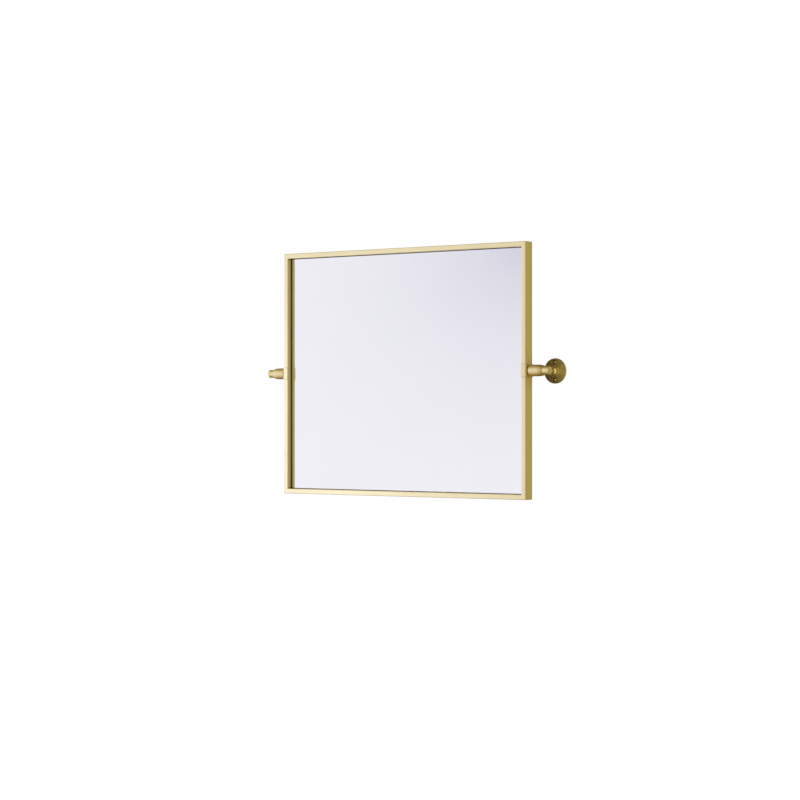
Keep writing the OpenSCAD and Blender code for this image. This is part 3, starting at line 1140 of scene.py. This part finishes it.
@dataclass
class BoardFixings:
    """The welded tabs that hold the board, their screws, and the pads on the back corners."""

    tab_w: float = 20 * MM
    tab_leg: float = 15 * MM
    tab_foot: float = 4.0 * MM
    tab_t: float = 1.5 * MM
    tab_ease: float = 0.2 * MM
    screw_in: float = 9.5 * MM
    bend_r: float = 0.8 * MM
    head_r: float = 3.5 * MM
    head_t: float = 2.0 * MM
    head_foot: float = 0.15 * MM
    head_round: float = 1.3 * MM
    shank_r: float = 1.75 * MM
    shank_l: float = 4.5 * MM
    cross_l: float = 4.0 * MM
    cross_w: float = 0.9 * MM
    cross_depth: float = 1.2 * MM
    cross_ease: float = 0.1 * MM
    turn_step: int = 23  # degrees from one screw to the next
    turn_stray: int = 7
    bead_r: float = 0.8 * MM
    bead_start: float = 0.4 * MM
    bead_ripples: int = 5
    bead_steps: int = 30
    bead_waist: float = 0.72  # a share of the bead's radius
    corner_to_tab: float = 95 * MM
    pad_r: float = 3.25 * MM
    pad_foot: float = 0.1 * MM
    pad_side: float = 0.75  # a share of the pad's thickness
    pad_shoulder: float = 0.35 * MM
    pad_flat: float = 0.5  # a share of the pad's radius
    pad_crown: float = 1.2 * MM

    def seats(self) -> list[Matrix]:
        """Finds each tab's own frame: +X inward from the frame's inner side, +Y towards the wall.

        Returns:
            The tabs' frames.
        """
        board_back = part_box("backing_board")[1].y
        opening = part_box("board_tabs")[1]
        seats = []
        for quarter in range(4):
            wall, span = (opening.x, opening.z) if quarter % 2 == 0 else (opening.z, opening.x)
            turn = Matrix.Rotation(quarter * math.pi / 2, 4, "Y")
            for end in (-1, 1):
                along = end * (span - self.corner_to_tab)
                seats.append(turn @ Matrix.Translation((-wall, board_back, along)))
        return seats

    def bead(self) -> bmesh.types.BMesh:
        """Makes one rippled weld bead as long as a tab's foot, along local Z from just behind the board.

        Returns:
            The bead.
        """
        start, end = self.bead_start, self.tab_foot
        outline = [Vector((0, start))]
        for k in range(1, self.bead_steps):
            share = k / self.bead_steps
            wave = abs(math.sin(math.pi * self.bead_ripples * share))
            radius = self.bead_r * (self.bead_waist + (1 - self.bead_waist) * wave)
            outline.append(Vector((radius, start + (end - start) * share)))
        outline.append(Vector((0, end)))
        return lathe(outline, segments=24, closed=False)

    def build(self) -> list[bpy.types.Object]:
        """Builds the tabs, their weld beads, the screws and the pads, and returns them."""
        seats = self.seats()
        return [*self.tabs(seats), self.screws(seats), self.pads()]

    def tabs(self, seats: list[Matrix]) -> list[bpy.types.Object]:
        """Builds the eight bent tabs, each with a weld bead at both sides of its foot.

        Args:
            seats: Each tab's own frame.

        Returns:
            The tabs and their beads.
        """
        outline = rounded(
            [
                (0, 0, self.bend_r),
                (self.tab_leg, 0, self.tab_ease),
                (self.tab_leg, self.tab_t, self.tab_ease),
                (self.tab_t, self.tab_t, self.bend_r),
                (self.tab_t, self.tab_foot, self.tab_ease),
                (0, self.tab_foot, self.tab_ease),
            ],
            steps=4,
        )
        tabs = piece_of("tab_brackets", copied(prism(outline, -self.tab_w / 2, self.tab_w / 2), seats))
        place_piece(tabs, "mirror", ZINC, ["board_tabs"])
        half = self.tab_w / 2
        edges = [Matrix.Translation((self.bead_r, 0, z)) @ Z_TO_Y for z in (-half, half)]
        places = [seat @ edge for seat in seats for edge in edges]
        beads = piece_of("tab_weld_beads", copied(self.bead(), places))
        return [tabs, place_piece(beads, "mirror", ZINC, [])]

    def screws(self, seats: list[Matrix]) -> bpy.types.Object:
        """Builds the eight pan-head screws, each turned a little differently.

        Args:
            seats: Each tab's own frame.

        Returns:
            The screws.
        """
        under = self.shank_l + self.tab_t
        top = under + self.head_t
        section = rounded(
            [
                (0, 0, 0),
                (self.shank_r, 0, 0),
                (self.shank_r, under, 0),
                (self.head_r, under, self.head_foot),
                (self.head_r, top, self.head_round),
                (0, top, 0),
            ],
            closed=False,
        )
        screw = piece_of("one_screw", lathe(section, segments=40, closed=False))
        low = Vector((-self.cross_l / 2, -self.cross_w / 2, top - self.cross_depth))
        high = Vector((self.cross_l / 2, self.cross_w / 2, top + self.cross_depth))
        for turn in (0, math.pi / 2):
            arm = slab(low, high, self.cross_ease)
            bmesh.ops.rotate(arm, verts=arm.verts, cent=(0, 0, 0), matrix=Matrix.Rotation(turn, 3, "Z"))
            cut_from(screw, arm)
        one = bmesh.new()
        one.from_mesh(screw.data)
        bpy.data.objects.remove(screw)
        stand = Matrix.Translation((self.screw_in, -self.shank_l, 0)) @ Z_TO_Y
        places = []
        for i, seat in enumerate(seats):
            turn = math.radians(self.turn_step * i + self.turn_stray * (i % 3))
            places.append(seat @ stand @ Matrix.Rotation(turn, 4, "Z"))
        screws = piece_of("pan_screws", copied(one, places))
        return place_piece(screws, "mirror", ZINC, ["board_screws"])

    def pads(self) -> bpy.types.Object:
        """Builds the four domed pads.

        Returns:
            The pads.
        """
        low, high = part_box("bumper_pads")
        thick = high.y - low.y
        radius = self.pad_r
        domed = rounded(
            [
                (0, 0, 0),
                (radius, 0, self.pad_foot),
                (radius, thick * self.pad_side, self.pad_shoulder),
                (radius * self.pad_flat, thick, self.pad_crown),
                (0, thick, 0),
            ],
            closed=False,
        )
        places = [
            Matrix.Translation((x, low.y, z)) @ Z_TO_Y
            for x in (low.x + radius, high.x - radius)
            for z in (low.z + radius, high.z - radius)
        ]
        pads = copied(lathe(domed, segments=40, closed=False), places)
        return place_piece(piece_of("rubber_pads", pads), "mirror", RUBBER, ["bumper_pads"])


@dataclass
class SideClip:
    """The bent strip that wraps a stile, and the friction washer outside it."""

    side: Side
    sheet: float = 1.5 * MM
    bend_r: float = 1.0 * MM
    tip_r: float = 0.45 * MM
    ease: float = 0.55 * MM
    ease_from: float = math.radians(50)
    washer_at: float = 1.5 * MM
    washer_bore_r: float = 4.05 * MM
    bore_ease: float = 0.1 * MM
    rim_ease: float = 0.25 * MM

    def build(self) -> bpy.types.Object:
        """Builds the strip and the washer.

        Returns:
            The strip.
        """
        word = self.side.word
        low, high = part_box(f"{word}_clip")
        sign = self.side.value
        web_x, tip_x = (high.x, low.x) if self.side is Side.RIGHT else (low.x, high.x)
        inner_x = web_x - sign * self.sheet
        outer_r = self.bend_r + self.sheet
        outline = rounded(
            [
                (tip_x, low.y, self.tip_r),
                (web_x, low.y, outer_r),
                (web_x, high.y, outer_r),
                (tip_x, high.y, self.tip_r),
                (tip_x, high.y - self.sheet, self.tip_r),
                (inner_x, high.y - self.sheet, self.bend_r),
                (inner_x, low.y + self.sheet, self.bend_r),
                (tip_x, low.y + self.sheet, self.tip_r),
            ],
            steps=8,
        )
        strip = piece_of(f"{word}_clip_strip", prism(outline, low.z, high.z))
        ease = strip.modifiers.new("eased edges", "BEVEL")
        ease.width = self.ease
        ease.segments = 1
        # The eased bevels take the second material, the near-black brass of painted shade.
        ease.material = 1
        ease.limit_method = "ANGLE"
        ease.angle_limit = self.ease_from
        strip.modifiers.move(1, 0)
        place_piece(strip, "mirror", CLIP_BRASS, [f"{word}_clip"])
        # The top and bottom faces take the near-black brass of painted shade as well.
        strip.data.materials.append(CLIP_EDGE_SHADE_BRASS.material())
        for face in strip.data.polygons:
            face.material_index = 1 if abs(face.normal.z) > SQUARE_ON else 0
        self.washer()
        return strip

    def washer(self) -> None:
        """Builds the friction washer with eased edges."""
        word = self.side.word
        low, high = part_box(f"{word}_friction_washer")
        radius = (high.z - low.z) / 2
        start = self.washer_at
        end = start + high.x - low.x
        ring = rounded(
            [
                (self.washer_bore_r, start, self.bore_ease),
                (radius, start, self.rim_ease),
                (radius, end, self.rim_ease),
                (self.washer_bore_r, end, self.bore_ease),
            ],
            steps=3,
        )
        washer = piece_of(f"{word}_washer_ring", lathe(ring, segments=96), along_pivot(self.side))
        place_piece(washer, "mirror", BRONZE, [f"{word}_friction_washer"])


@dataclass
class TurnedBracket:
    """One wall bracket: the flange, the post with its collar, and the barrel that it carries."""

    side: Side
    flange_r: float = 25.4 * MM
    flange_t: float = 4.0 * MM
    flange_round: float = 1.5 * MM
    boss_r: float = 11.1 * MM
    boss_t: float = 2.3 * MM
    boss_foot: float = 0.5 * MM
    boss_round: float = 0.7 * MM
    hole_r: float = 2.0 * MM
    sink_r: float = 4.6 * MM
    hole_at: float = 17.5 * MM
    screw_r: float = 3.05 * MM
    head_r: float = 5.85 * MM
    head_sunk: float = 0.3 * MM
    collar_r: float = 8.25 * MM
    collar_l: float = 5.5 * MM
    collar_round: float = 2.4 * MM
    neck_r: float = 6.0 * MM
    neck_foot: float = 0.4 * MM
    flare_r: float = 7.0 * MM
    flare_l: float = 4.0 * MM
    flare_round: float = 6 * MM
    post_short: float = 2 * MM
    pivot_to_wall: float = 68.2 * MM
    barrel_at: float = 4.0 * MM
    barrel_l: float = 29.6 * MM
    root_r: float = 11.6 * MM
    belly_r: float = 11.8 * MM
    belly_at: float = 17.2 * MM
    mouth_r: float = 10.5 * MM
    root_round: float = 1.2 * MM
    mouth_round: float = 0.8 * MM
    groove_r: float = 9.5 * MM
    groove_depth: float = 1.6 * MM
    bore_r: float = 9.05 * MM
    mouth_depth: float = 7.5 * MM
    bush_r: float = 6.05 * MM
    micro: float = 0.2 * MM
    cut_beyond: float = 1 * MM
    taper_steps: int = 16
    swell_steps: int = 24
    lip_steps: int = 6

    def build(self) -> bpy.types.Object:
        """Builds the flange, the post and the barrel, and dresses what lies inside.

        Returns:
            The post.
        """
        self.flange()
        post = self.post()
        self.barrel()
        for part in ("flange_screw", "thrust_washer", "disc_spring"):
            dress_node(f"{self.side.word}_{part}", ZINC)
        dress_node(f"{self.side.word}_pivot_bush", NYLON)
        return post

    def flange(self) -> None:
        """Builds the flange with its boss, its two countersunk holes and the sunk hole behind."""
        top = self.flange_t + self.boss_t
        section = rounded(
            [
                (self.screw_r, self.head_sunk + self.head_r - self.screw_r, 0),
                (self.head_r, self.head_sunk, 0),
                (self.head_r, 0, 0),
                (self.flange_r, 0, self.micro),
                (self.flange_r, self.flange_t, self.flange_round),
                (self.boss_r, self.flange_t, self.boss_foot),
                (self.boss_r, top, self.boss_round),
                (self.screw_r, top, 0),
            ],
            steps=8,
        )
        turned = lathe(section, segments=160)
        plate = piece_of(f"{self.side.word}_flange_plate", turned, along_post(self.side))
        sink_depth = self.sink_r - self.hole_r
        beyond = self.cut_beyond
        drill = [
            Vector((0, -beyond)),
            Vector((self.hole_r, -beyond)),
            Vector((self.hole_r, self.flange_t - sink_depth)),
            Vector((self.sink_r, self.flange_t)),
            Vector((self.sink_r + beyond, self.flange_t + beyond)),
            Vector((0, self.flange_t + beyond)),
        ]
        for end in (-1, 1):
            hole = lathe(drill, segments=48, closed=False)
            bmesh.ops.translate(hole, vec=(0, end * self.hole_at, 0), verts=hole.verts)
            cut_from(plate, hole)
        place_piece(plate, "wall_brackets", FLANGE_SHADE_BRASS, [f"{self.side.word}_flange"])
        # Faces inside each countersink take the near-black brass: painted shade in the holes.
        plate.data.materials.append(HOLE_SHADE_BRASS.material())
        for face in plate.data.polygons:
            across = Vector((face.center.x, abs(face.center.y) - self.hole_at))
            if across.length < self.sink_r and abs(face.normal.z) < SQUARE_ON:
                face.material_index = 1

    def post(self) -> bpy.types.Object:
        """Builds the post, with a rounded collar on the boss, a plain neck and a flare.

        Returns:
            The post.
        """
        collar_at = self.flange_t + self.boss_t
        collar_end = collar_at + self.collar_l
        flare_at = self.pivot_to_wall - self.belly_r - self.flare_l
        end = self.pivot_to_wall - self.bush_r - self.post_short
        section = rounded(
            [
                (0, collar_at, 0),
                (self.collar_r, collar_at, self.micro),
                (self.collar_r, collar_end, self.collar_round),
                (self.neck_r, collar_end, self.neck_foot),
                (self.neck_r, flare_at, self.flare_round),
                (self.flare_r, flare_at + self.flare_l, 0),
                (self.flare_r, end, 0),
                (0, end, 0),
            ],
            closed=False,
            steps=10,
        )
        turned = lathe(section, segments=128, closed=False)
        post = piece_of(f"{self.side.word}_post_turned", turned, along_post(self.side))
        return place_piece(post, "wall_brackets", POST_BRASS, [f"{self.side.word}_post"])

    def barrel(self) -> None:
        """Builds the barrel: a slow swell to its belly, an arc to its mouth, a groove round the knob."""
        mouth_at = self.barrel_at + self.barrel_l
        lip_at = mouth_at - self.mouth_round
        rise = self.barrel_l - self.belly_at
        drop = self.belly_r - self.mouth_r
        arc_r = (rise**2 + drop**2) / (2 * drop)
        belly = Vector((self.belly_r, self.barrel_at + self.belly_at))
        shoulder_at = mouth_at - self.mouth_depth
        side_at = self.barrel_at + self.root_round
        root = rounded(
            [
                (self.bush_r, self.barrel_at, 0),
                (self.root_r, self.barrel_at, self.root_round),
                (self.root_r, side_at, 0),
            ],
            closed=False,
            steps=8,
        )
        for k in range(1, self.taper_steps + 1):
            share = k / self.taper_steps
            radius = self.belly_r - (self.belly_r - self.root_r) * (1 - share) ** 2
            root.append(Vector((radius, side_at + (belly.y - side_at) * share)))
        swell = []
        for k in range(1, self.swell_steps + 1):
            beyond = (lip_at - belly.y) * k / self.swell_steps
            swell.append(Vector((belly.x - arc_r + math.sqrt(arc_r**2 - beyond**2), belly.y + beyond)))
        lip_centre = swell[-1] - Vector((self.mouth_round, 0))
        lip = []
        for k in range(1, self.lip_steps + 1):
            angle = math.pi / 2 * k / self.lip_steps
            lip.append(lip_centre + self.mouth_round * Vector((math.cos(angle), math.sin(angle))))
        inside = rounded(
            [
                (lip[-1].x, mouth_at, 0),
                (self.groove_r, mouth_at, self.micro),
                (self.groove_r, mouth_at - self.groove_depth, self.micro),
                (self.bore_r, mouth_at - self.groove_depth, self.micro),
                (self.bore_r, shoulder_at, self.micro),
                (self.bush_r, shoulder_at, 0),
            ],
            closed=False,
            steps=4,
        )
        section = root + swell + lip + inside[1:]
        turned = lathe(section, segments=160)
        barrel = piece_of(f"{self.side.word}_barrel_turned", turned, along_pivot(self.side))
        place_piece(barrel, "wall_brackets", TURNED_BRASS, [f"{self.side.word}_barrel"])


@dataclass
class TensionKnob:
    """The round knob on the stud's end, which presses the barrel against the clip."""

    side: Side
    radius: float = 8.7 * MM
    start: float = 28.3 * MM
    end: float = 48.8 * MM
    chamfer: float = 1.5 * MM
    bore_r: float = 4.06 * MM
    bore_end: float = 43.0 * MM
    micro: float = 0.25 * MM

    def build(self) -> None:
        """Builds the knob and dresses the stud and weld nut behind it."""
        section = rounded(
            [
                (0, self.bore_end, 0),
                (self.bore_r, self.bore_end, 0),
                (self.bore_r, self.start, self.micro),
                (self.radius, self.start, self.micro),
                (self.radius, self.end - self.chamfer, self.micro * 2),
                (self.radius - self.chamfer, self.end, self.micro * 2),
                (0, self.end, 0),
            ],
            closed=False,
            steps=5,
        )
        word = self.side.word
        turned = lathe(section, segments=128, closed=False)
        knob = piece_of(f"{word}_knob_turned", turned, along_pivot(self.side))
        place_piece(knob, f"{word}_knob", TURNED_BRASS, [f"{word}_tension_knob"])
        for part in ("pivot_stud", "weld_nut"):
            dress_node(f"{word}_{part}", ZINC)


# ---------------------------------------------------------------------------------------------
# Studio
# ---------------------------------------------------------------------------------------------


@dataclass
class Surroundings:
    """The world: white to the camera, a pale room in the glass, and a dimmer, warmer one on the metal.

    A direction is told by its azimuth, which is 0 straight in front of the mirror and positive to the
    left, by its height above or below level, both in degrees, and by its x and y. Each span gives where
    a field of directions starts and where it is whole.
    """

    bright: Colour = (0.875, 0.862, 0.937)
    amber: Colour = (0.80, 0.62, 0.30)
    level_dim: Colour = (0.298, 0.254, 0.129)
    steep_dim: Colour = (0.08, 0.065, 0.028)
    ahead_dim: Colour = (0.26, 0.22, 0.107)
    corner_dim: Colour = (0.09, 0.075, 0.033)
    side_glow: Colour = (0.66, 0.58, 0.36)
    pale_grey: Colour = (0.60, 0.595, 0.63)
    spot_dim: Colour = (0.50, 0.485, 0.61)
    level: Span = (75.0, 4.0)
    steep: Span = (12.0, 55.0)
    wall_near: Span = (8.0, 34.0)
    wall_far: Span = (125.0, 85.0)
    ahead_x: Span = (0.05, 0.45)
    ahead_y: Span = (0.3, -0.4)
    corner_x: Span = (0.1, -0.4)
    corner_y: Span = (-0.1, 0.3)
    beside_near: Span = (-46.0, -64.0)
    beside_far: Span = (-112.0, -90.0)
    calm_round: Span = (-85.0, 20.0)
    calm_height: Span = (80.0, 8.0)
    spot_azimuth: float = 32.8
    spot_height: float = 4.6
    spot_falloff: float = 17.2
    second_bounce: float = 0.2

    def build(self) -> None:
        """Builds the world's nodes."""
        world = bpy.data.worlds.new("studio")
        bpy.context.scene.world = world
        world.use_nodes = True
        world.node_tree.nodes.clear()
        g = Graph(world.node_tree)
        facing = g.add("ShaderNodeTexCoord").outputs["Generated"]
        path = g.add("ShaderNodeLightPath")
        colour = self.room_colour(g, facing, self.seen_in_glass(g, path))
        room = g.add("ShaderNodeBackground", Color=colour, Strength=1.0)
        white = g.add("ShaderNodeBackground", Color=(1.0, 1.0, 1.0, 1.0), Strength=1.0)
        both = g.add("ShaderNodeMixShader")
        for number, socket in enumerate((path.outputs["Is Camera Ray"], room.outputs[0], white.outputs[0])):
            g.feed(both, number, socket)
        g.feed(g.add("ShaderNodeOutputWorld"), "Surface", both.outputs[0])

    def seen_in_glass(self, g: Graph, path: bpy.types.Node) -> bpy.types.NodeSocket:
        """Tells the light that the glass mirrors, most of all what it mirrors straight to the eye.

        Args:
            g: The world's graph.
            path: A Light Path node.

        Returns:
            The share's socket.
        """
        straight = g.maths("LESS_THAN", path.outputs["Glossy Depth"], 1.5)  # mirrored once, by the silver
        share = g.maths("MULTIPLY_ADD", straight, 1.0 - self.second_bounce, self.second_bounce)
        return g.maths("MULTIPLY", path.outputs["Is Singular Ray"], share)

    def room_colour(
        self, g: Graph, facing: bpy.types.NodeSocket, in_glass: bpy.types.NodeSocket
    ) -> bpy.types.NodeSocket:
        """Colours the room by direction: a bright wall on the left, and dim fields elsewhere.

        Args:
            g: The world's graph.
            facing: The direction that is looked in.
            in_glass: How much of the pale room shows instead.

        Returns:
            The colour's socket.
        """
        x, y, z = g.add("ShaderNodeSeparateXYZ", Vector=facing).outputs
        left, forward = g.maths("MULTIPLY", x, -1.0), g.maths("MULTIPLY", y, -1.0)
        azimuth = g.maths("DEGREES", g.maths("ARCTAN2", left, forward))
        height = g.maths("DEGREES", g.maths("ABSOLUTE", g.maths("ARCSINE", z)))
        beside = g.field((azimuth, self.beside_near), (azimuth, self.beside_far), (height, self.level))
        fields = (
            (g.field((height, self.steep)), self.steep_dim),
            (g.field((x, self.ahead_x), (y, self.ahead_y)), self.ahead_dim),
            (g.field((x, self.corner_x), (y, self.corner_y)), self.corner_dim),
            (beside, self.side_glow),
        )
        colour: Feed = self.level_dim
        for field, dim in fields:
            colour = g.mixed(field, colour, dim)
        wall = g.field((azimuth, self.wall_near), (azimuth, self.wall_far), (height, self.level))
        colour = g.mixed(wall, colour, g.mixed(wall, self.amber, self.bright))
        calm = g.field((azimuth, self.calm_round), (height, self.calm_height))
        colour = g.mixed(in_glass, colour, g.mixed(calm, self.pale_grey, self.bright))
        return g.mixed(self.spot(g, facing), colour, self.spot_dim)

    def spot(self, g: Graph, facing: bpy.types.NodeSocket) -> bpy.types.NodeSocket:
        """Shades a soft spot that the glass mirrors in its upper right corner.

        Args:
            g: The world's graph.
            facing: The direction that is looked in.

        Returns:
            The shade's mask.
        """
        turn, lift = math.radians(self.spot_azimuth), math.radians(self.spot_height)
        middle = Vector((-math.sin(turn), -math.cos(turn), math.tan(lift))).normalized()
        away = g.maths("ARCCOSINE", g.vector("DOT_PRODUCT", facing, tuple(middle)).outputs["Value"])
        return g.maths("EXPONENT", g.maths("MULTIPLY", away, -self.spot_falloff))


@dataclass(frozen=True)
class LightPanel:
    """A rectangular light panel that faces a point, with its power in watts."""

    name: str
    size: tuple[float, float]
    energy: float
    at: tuple[float, float, float]
    towards: tuple[float, float, float]
    colour: Colour = (1.0, 1.0, 1.0)

    def build(self) -> bpy.types.Object:
        """Stands the panel in its place.

        Returns:
            The panel.
        """
        data = bpy.data.lights.new(self.name, "AREA")
        data.shape = "RECTANGLE"
        data.size, data.size_y = self.size
        data.energy = self.energy
        data.color = self.colour
        panel = bpy.data.objects.new(self.name, data)
        panel.location = self.at
        panel.rotation_euler = (Vector(self.at) - Vector(self.towards)).to_track_quat("Z", "Y").to_euler()
        bpy.context.scene.collection.objects.link(panel)
        return panel

    def build_for(self, pieces: Iterable[bpy.types.Object], only_they_block: bool = False) -> None:
        """Stands the panel so that it lights some pieces and nothing else.

        Args:
            pieces: What it lights.
            only_they_block: Whether nothing but these pieces casts a shadow in its light.
        """
        lit = bpy.data.collections.new("lit_by_" + self.name)
        for piece in pieces:
            lit.objects.link(piece)
        linking = self.build().light_linking
        linking.receiver_collection = lit
        if only_they_block:
            linking.blocker_collection = lit


# Broad and weak, for the floor and the dull parts.
OVERHEAD_PANEL = LightPanel("overhead_panel", (3.0, 2.0), 14.0, (-0.8, -1.2, 2.4), (-0.157, -0.042, 0.0))
# Close by on the left, for the frame and its clips.
KEY_PANEL = LightPanel(
    "key_panel", (0.6, 1.1), 1.6, (-0.92, -0.98, -0.27), (-0.1, -0.08, 0.0), colour=(0.78, 0.83, 1.1)
)
# Behind and above, for the board and its fixings.
BACK_PANEL = LightPanel("back_panel", (1.4, 0.9), 10.0, (0.5, 1.3, 0.9), (0.0, 0.0, 0.0))
# Narrow, in front of the right-hand collar, for the gleam on it.
POST_PANEL = LightPanel(
    "post_panel", (0.16, 0.53), 0.58, (0.4046, -0.5031, 0.0), (0.335, -0.008, 0.0), colour=(1.0, 0.87, 0.56)
)


@dataclass
class Studio:
    """The camera, the surroundings, the light panels, a pale floor and the picture's tone."""

    camera_at: tuple[float, float, float] = (2.6283, -3.6743, -0.0805)
    yaw: float = 36.18
    pitch: float = 0.304
    lens: float = 98.17
    sensor: float = 36.0
    clip: tuple[float, float] = (0.05, 100.0)
    floor_z: float = -1.2
    floor_r: float = 1.5
    floor_t: float = 20 * MM
    floor_foot: float = 4 * MM
    floor_round: float = 8 * MM
    scrap_r: float = 2.6 * MM
    scrap_t: float = 0.4 * MM
    scrap_round: float = 0.1 * MM
    scrap_sunk: float = 0.05 * MM
    softness: float = 0.8
    tones: tuple[float, ...] = (0.01, 0.03, 0.06, 0.1, 0.16, 0.25, 0.36, 0.5, 0.7)

    def build(self) -> None:
        """Sets up all that isn't part of the object, but for the panels that light only some pieces."""
        self.camera()
        Surroundings().build()
        OVERHEAD_PANEL.build().visible_glossy = False
        self.floor()
        self.wall_scraps()
        self.contrast()

    def camera(self) -> None:
        """Stands the camera where the photograph was taken from."""
        data = bpy.data.cameras.new("camera")
        data.lens = self.lens
        data.sensor_width = self.sensor
        data.clip_start, data.clip_end = self.clip
        camera = bpy.data.objects.new("camera", data)
        camera.location = self.camera_at
        camera.rotation_euler = (math.radians(90 + self.pitch), 0.0, math.radians(self.yaw))
        bpy.context.scene.collection.objects.link(camera)
        bpy.context.scene.camera = camera

    def light_pieces(
        self,
        framing: Iterable[bpy.types.Object],
        backing: Iterable[bpy.types.Object],
        posts: Iterable[bpy.types.Object],
    ) -> None:
        """Stands the panels that light only some pieces.

        Args:
            framing: The frame and its clips, lit from the left in front.
            backing: The board and its fixings, lit from behind.
            posts: The posts, lit for the gleam on the right-hand collar.
        """
        KEY_PANEL.build_for(framing)
        BACK_PANEL.build_for(backing)
        POST_PANEL.build_for(posts, only_they_block=True)

    def floor(self) -> None:
        """Lays a round pale floor under the mirror, which neither the brass nor the glass shows."""
        plate = round_plate(self.floor_r, self.floor_t, self.floor_foot, self.floor_round, segments=128)
        floor = piece_of("floor", plate, Matrix.Translation((0, 0, self.floor_z)))
        FLOOR_PAINT.dress(floor)
        floor.visible_glossy = False
        floor.visible_transmission = False

    def wall_scraps(self) -> None:
        """Closes each screw hole from behind with a scrap of wall, as when the mirror hangs. Its dark brown
        is painted shade and its amber glow is painted light, for the shaded hole with a lit spot in it.
        """
        for side in Side:
            hole_at = TurnedBracket(side).hole_at
            scrap = round_plate(self.scrap_r, self.scrap_t, 0, self.scrap_round, segments=32)
            places = [Matrix.Translation((0, end * hole_at, -self.scrap_sunk)) for end in (-1, 1)]
            scraps = piece_of(f"{side.word}_wall_scraps", copied(scrap, places), along_post(side))
            SCRAP_SHADE_AND_GLOW.dress(scraps)

    def contrast(self) -> None:
        """Sets the picture's tone: soft in the highlights, and white stays white."""
        settings = bpy.context.scene.view_settings
        settings.view_transform = "Standard"
        settings.look = "None"
        settings.use_curve_mapping = True
        curve = settings.curve_mapping.curves[3]  # the one for all three colours
        for tone in self.tones:
            curve.points.new(tone, tone * (1 + self.softness) / (1 + self.softness * tone))
        settings.curve_mapping.update()


def main() -> None:
    """Builds the studio and every sub-assembly in order, and then lights the pieces."""
    logging.basicConfig(level=logging.INFO, format="%(name)s: %(message)s")
    studio = Studio()
    studio.build()
    framing = MirrorFrame().build()
    backing = [GlassPack().build(), *BoardFixings().build()]
    posts = []
    for side in Side:
        framing.append(SideClip(side).build())
        posts.append(TurnedBracket(side).build())
        TensionKnob(side).build()
    studio.light_pieces(framing, backing, posts)


if __name__ == "__main__":
    main()
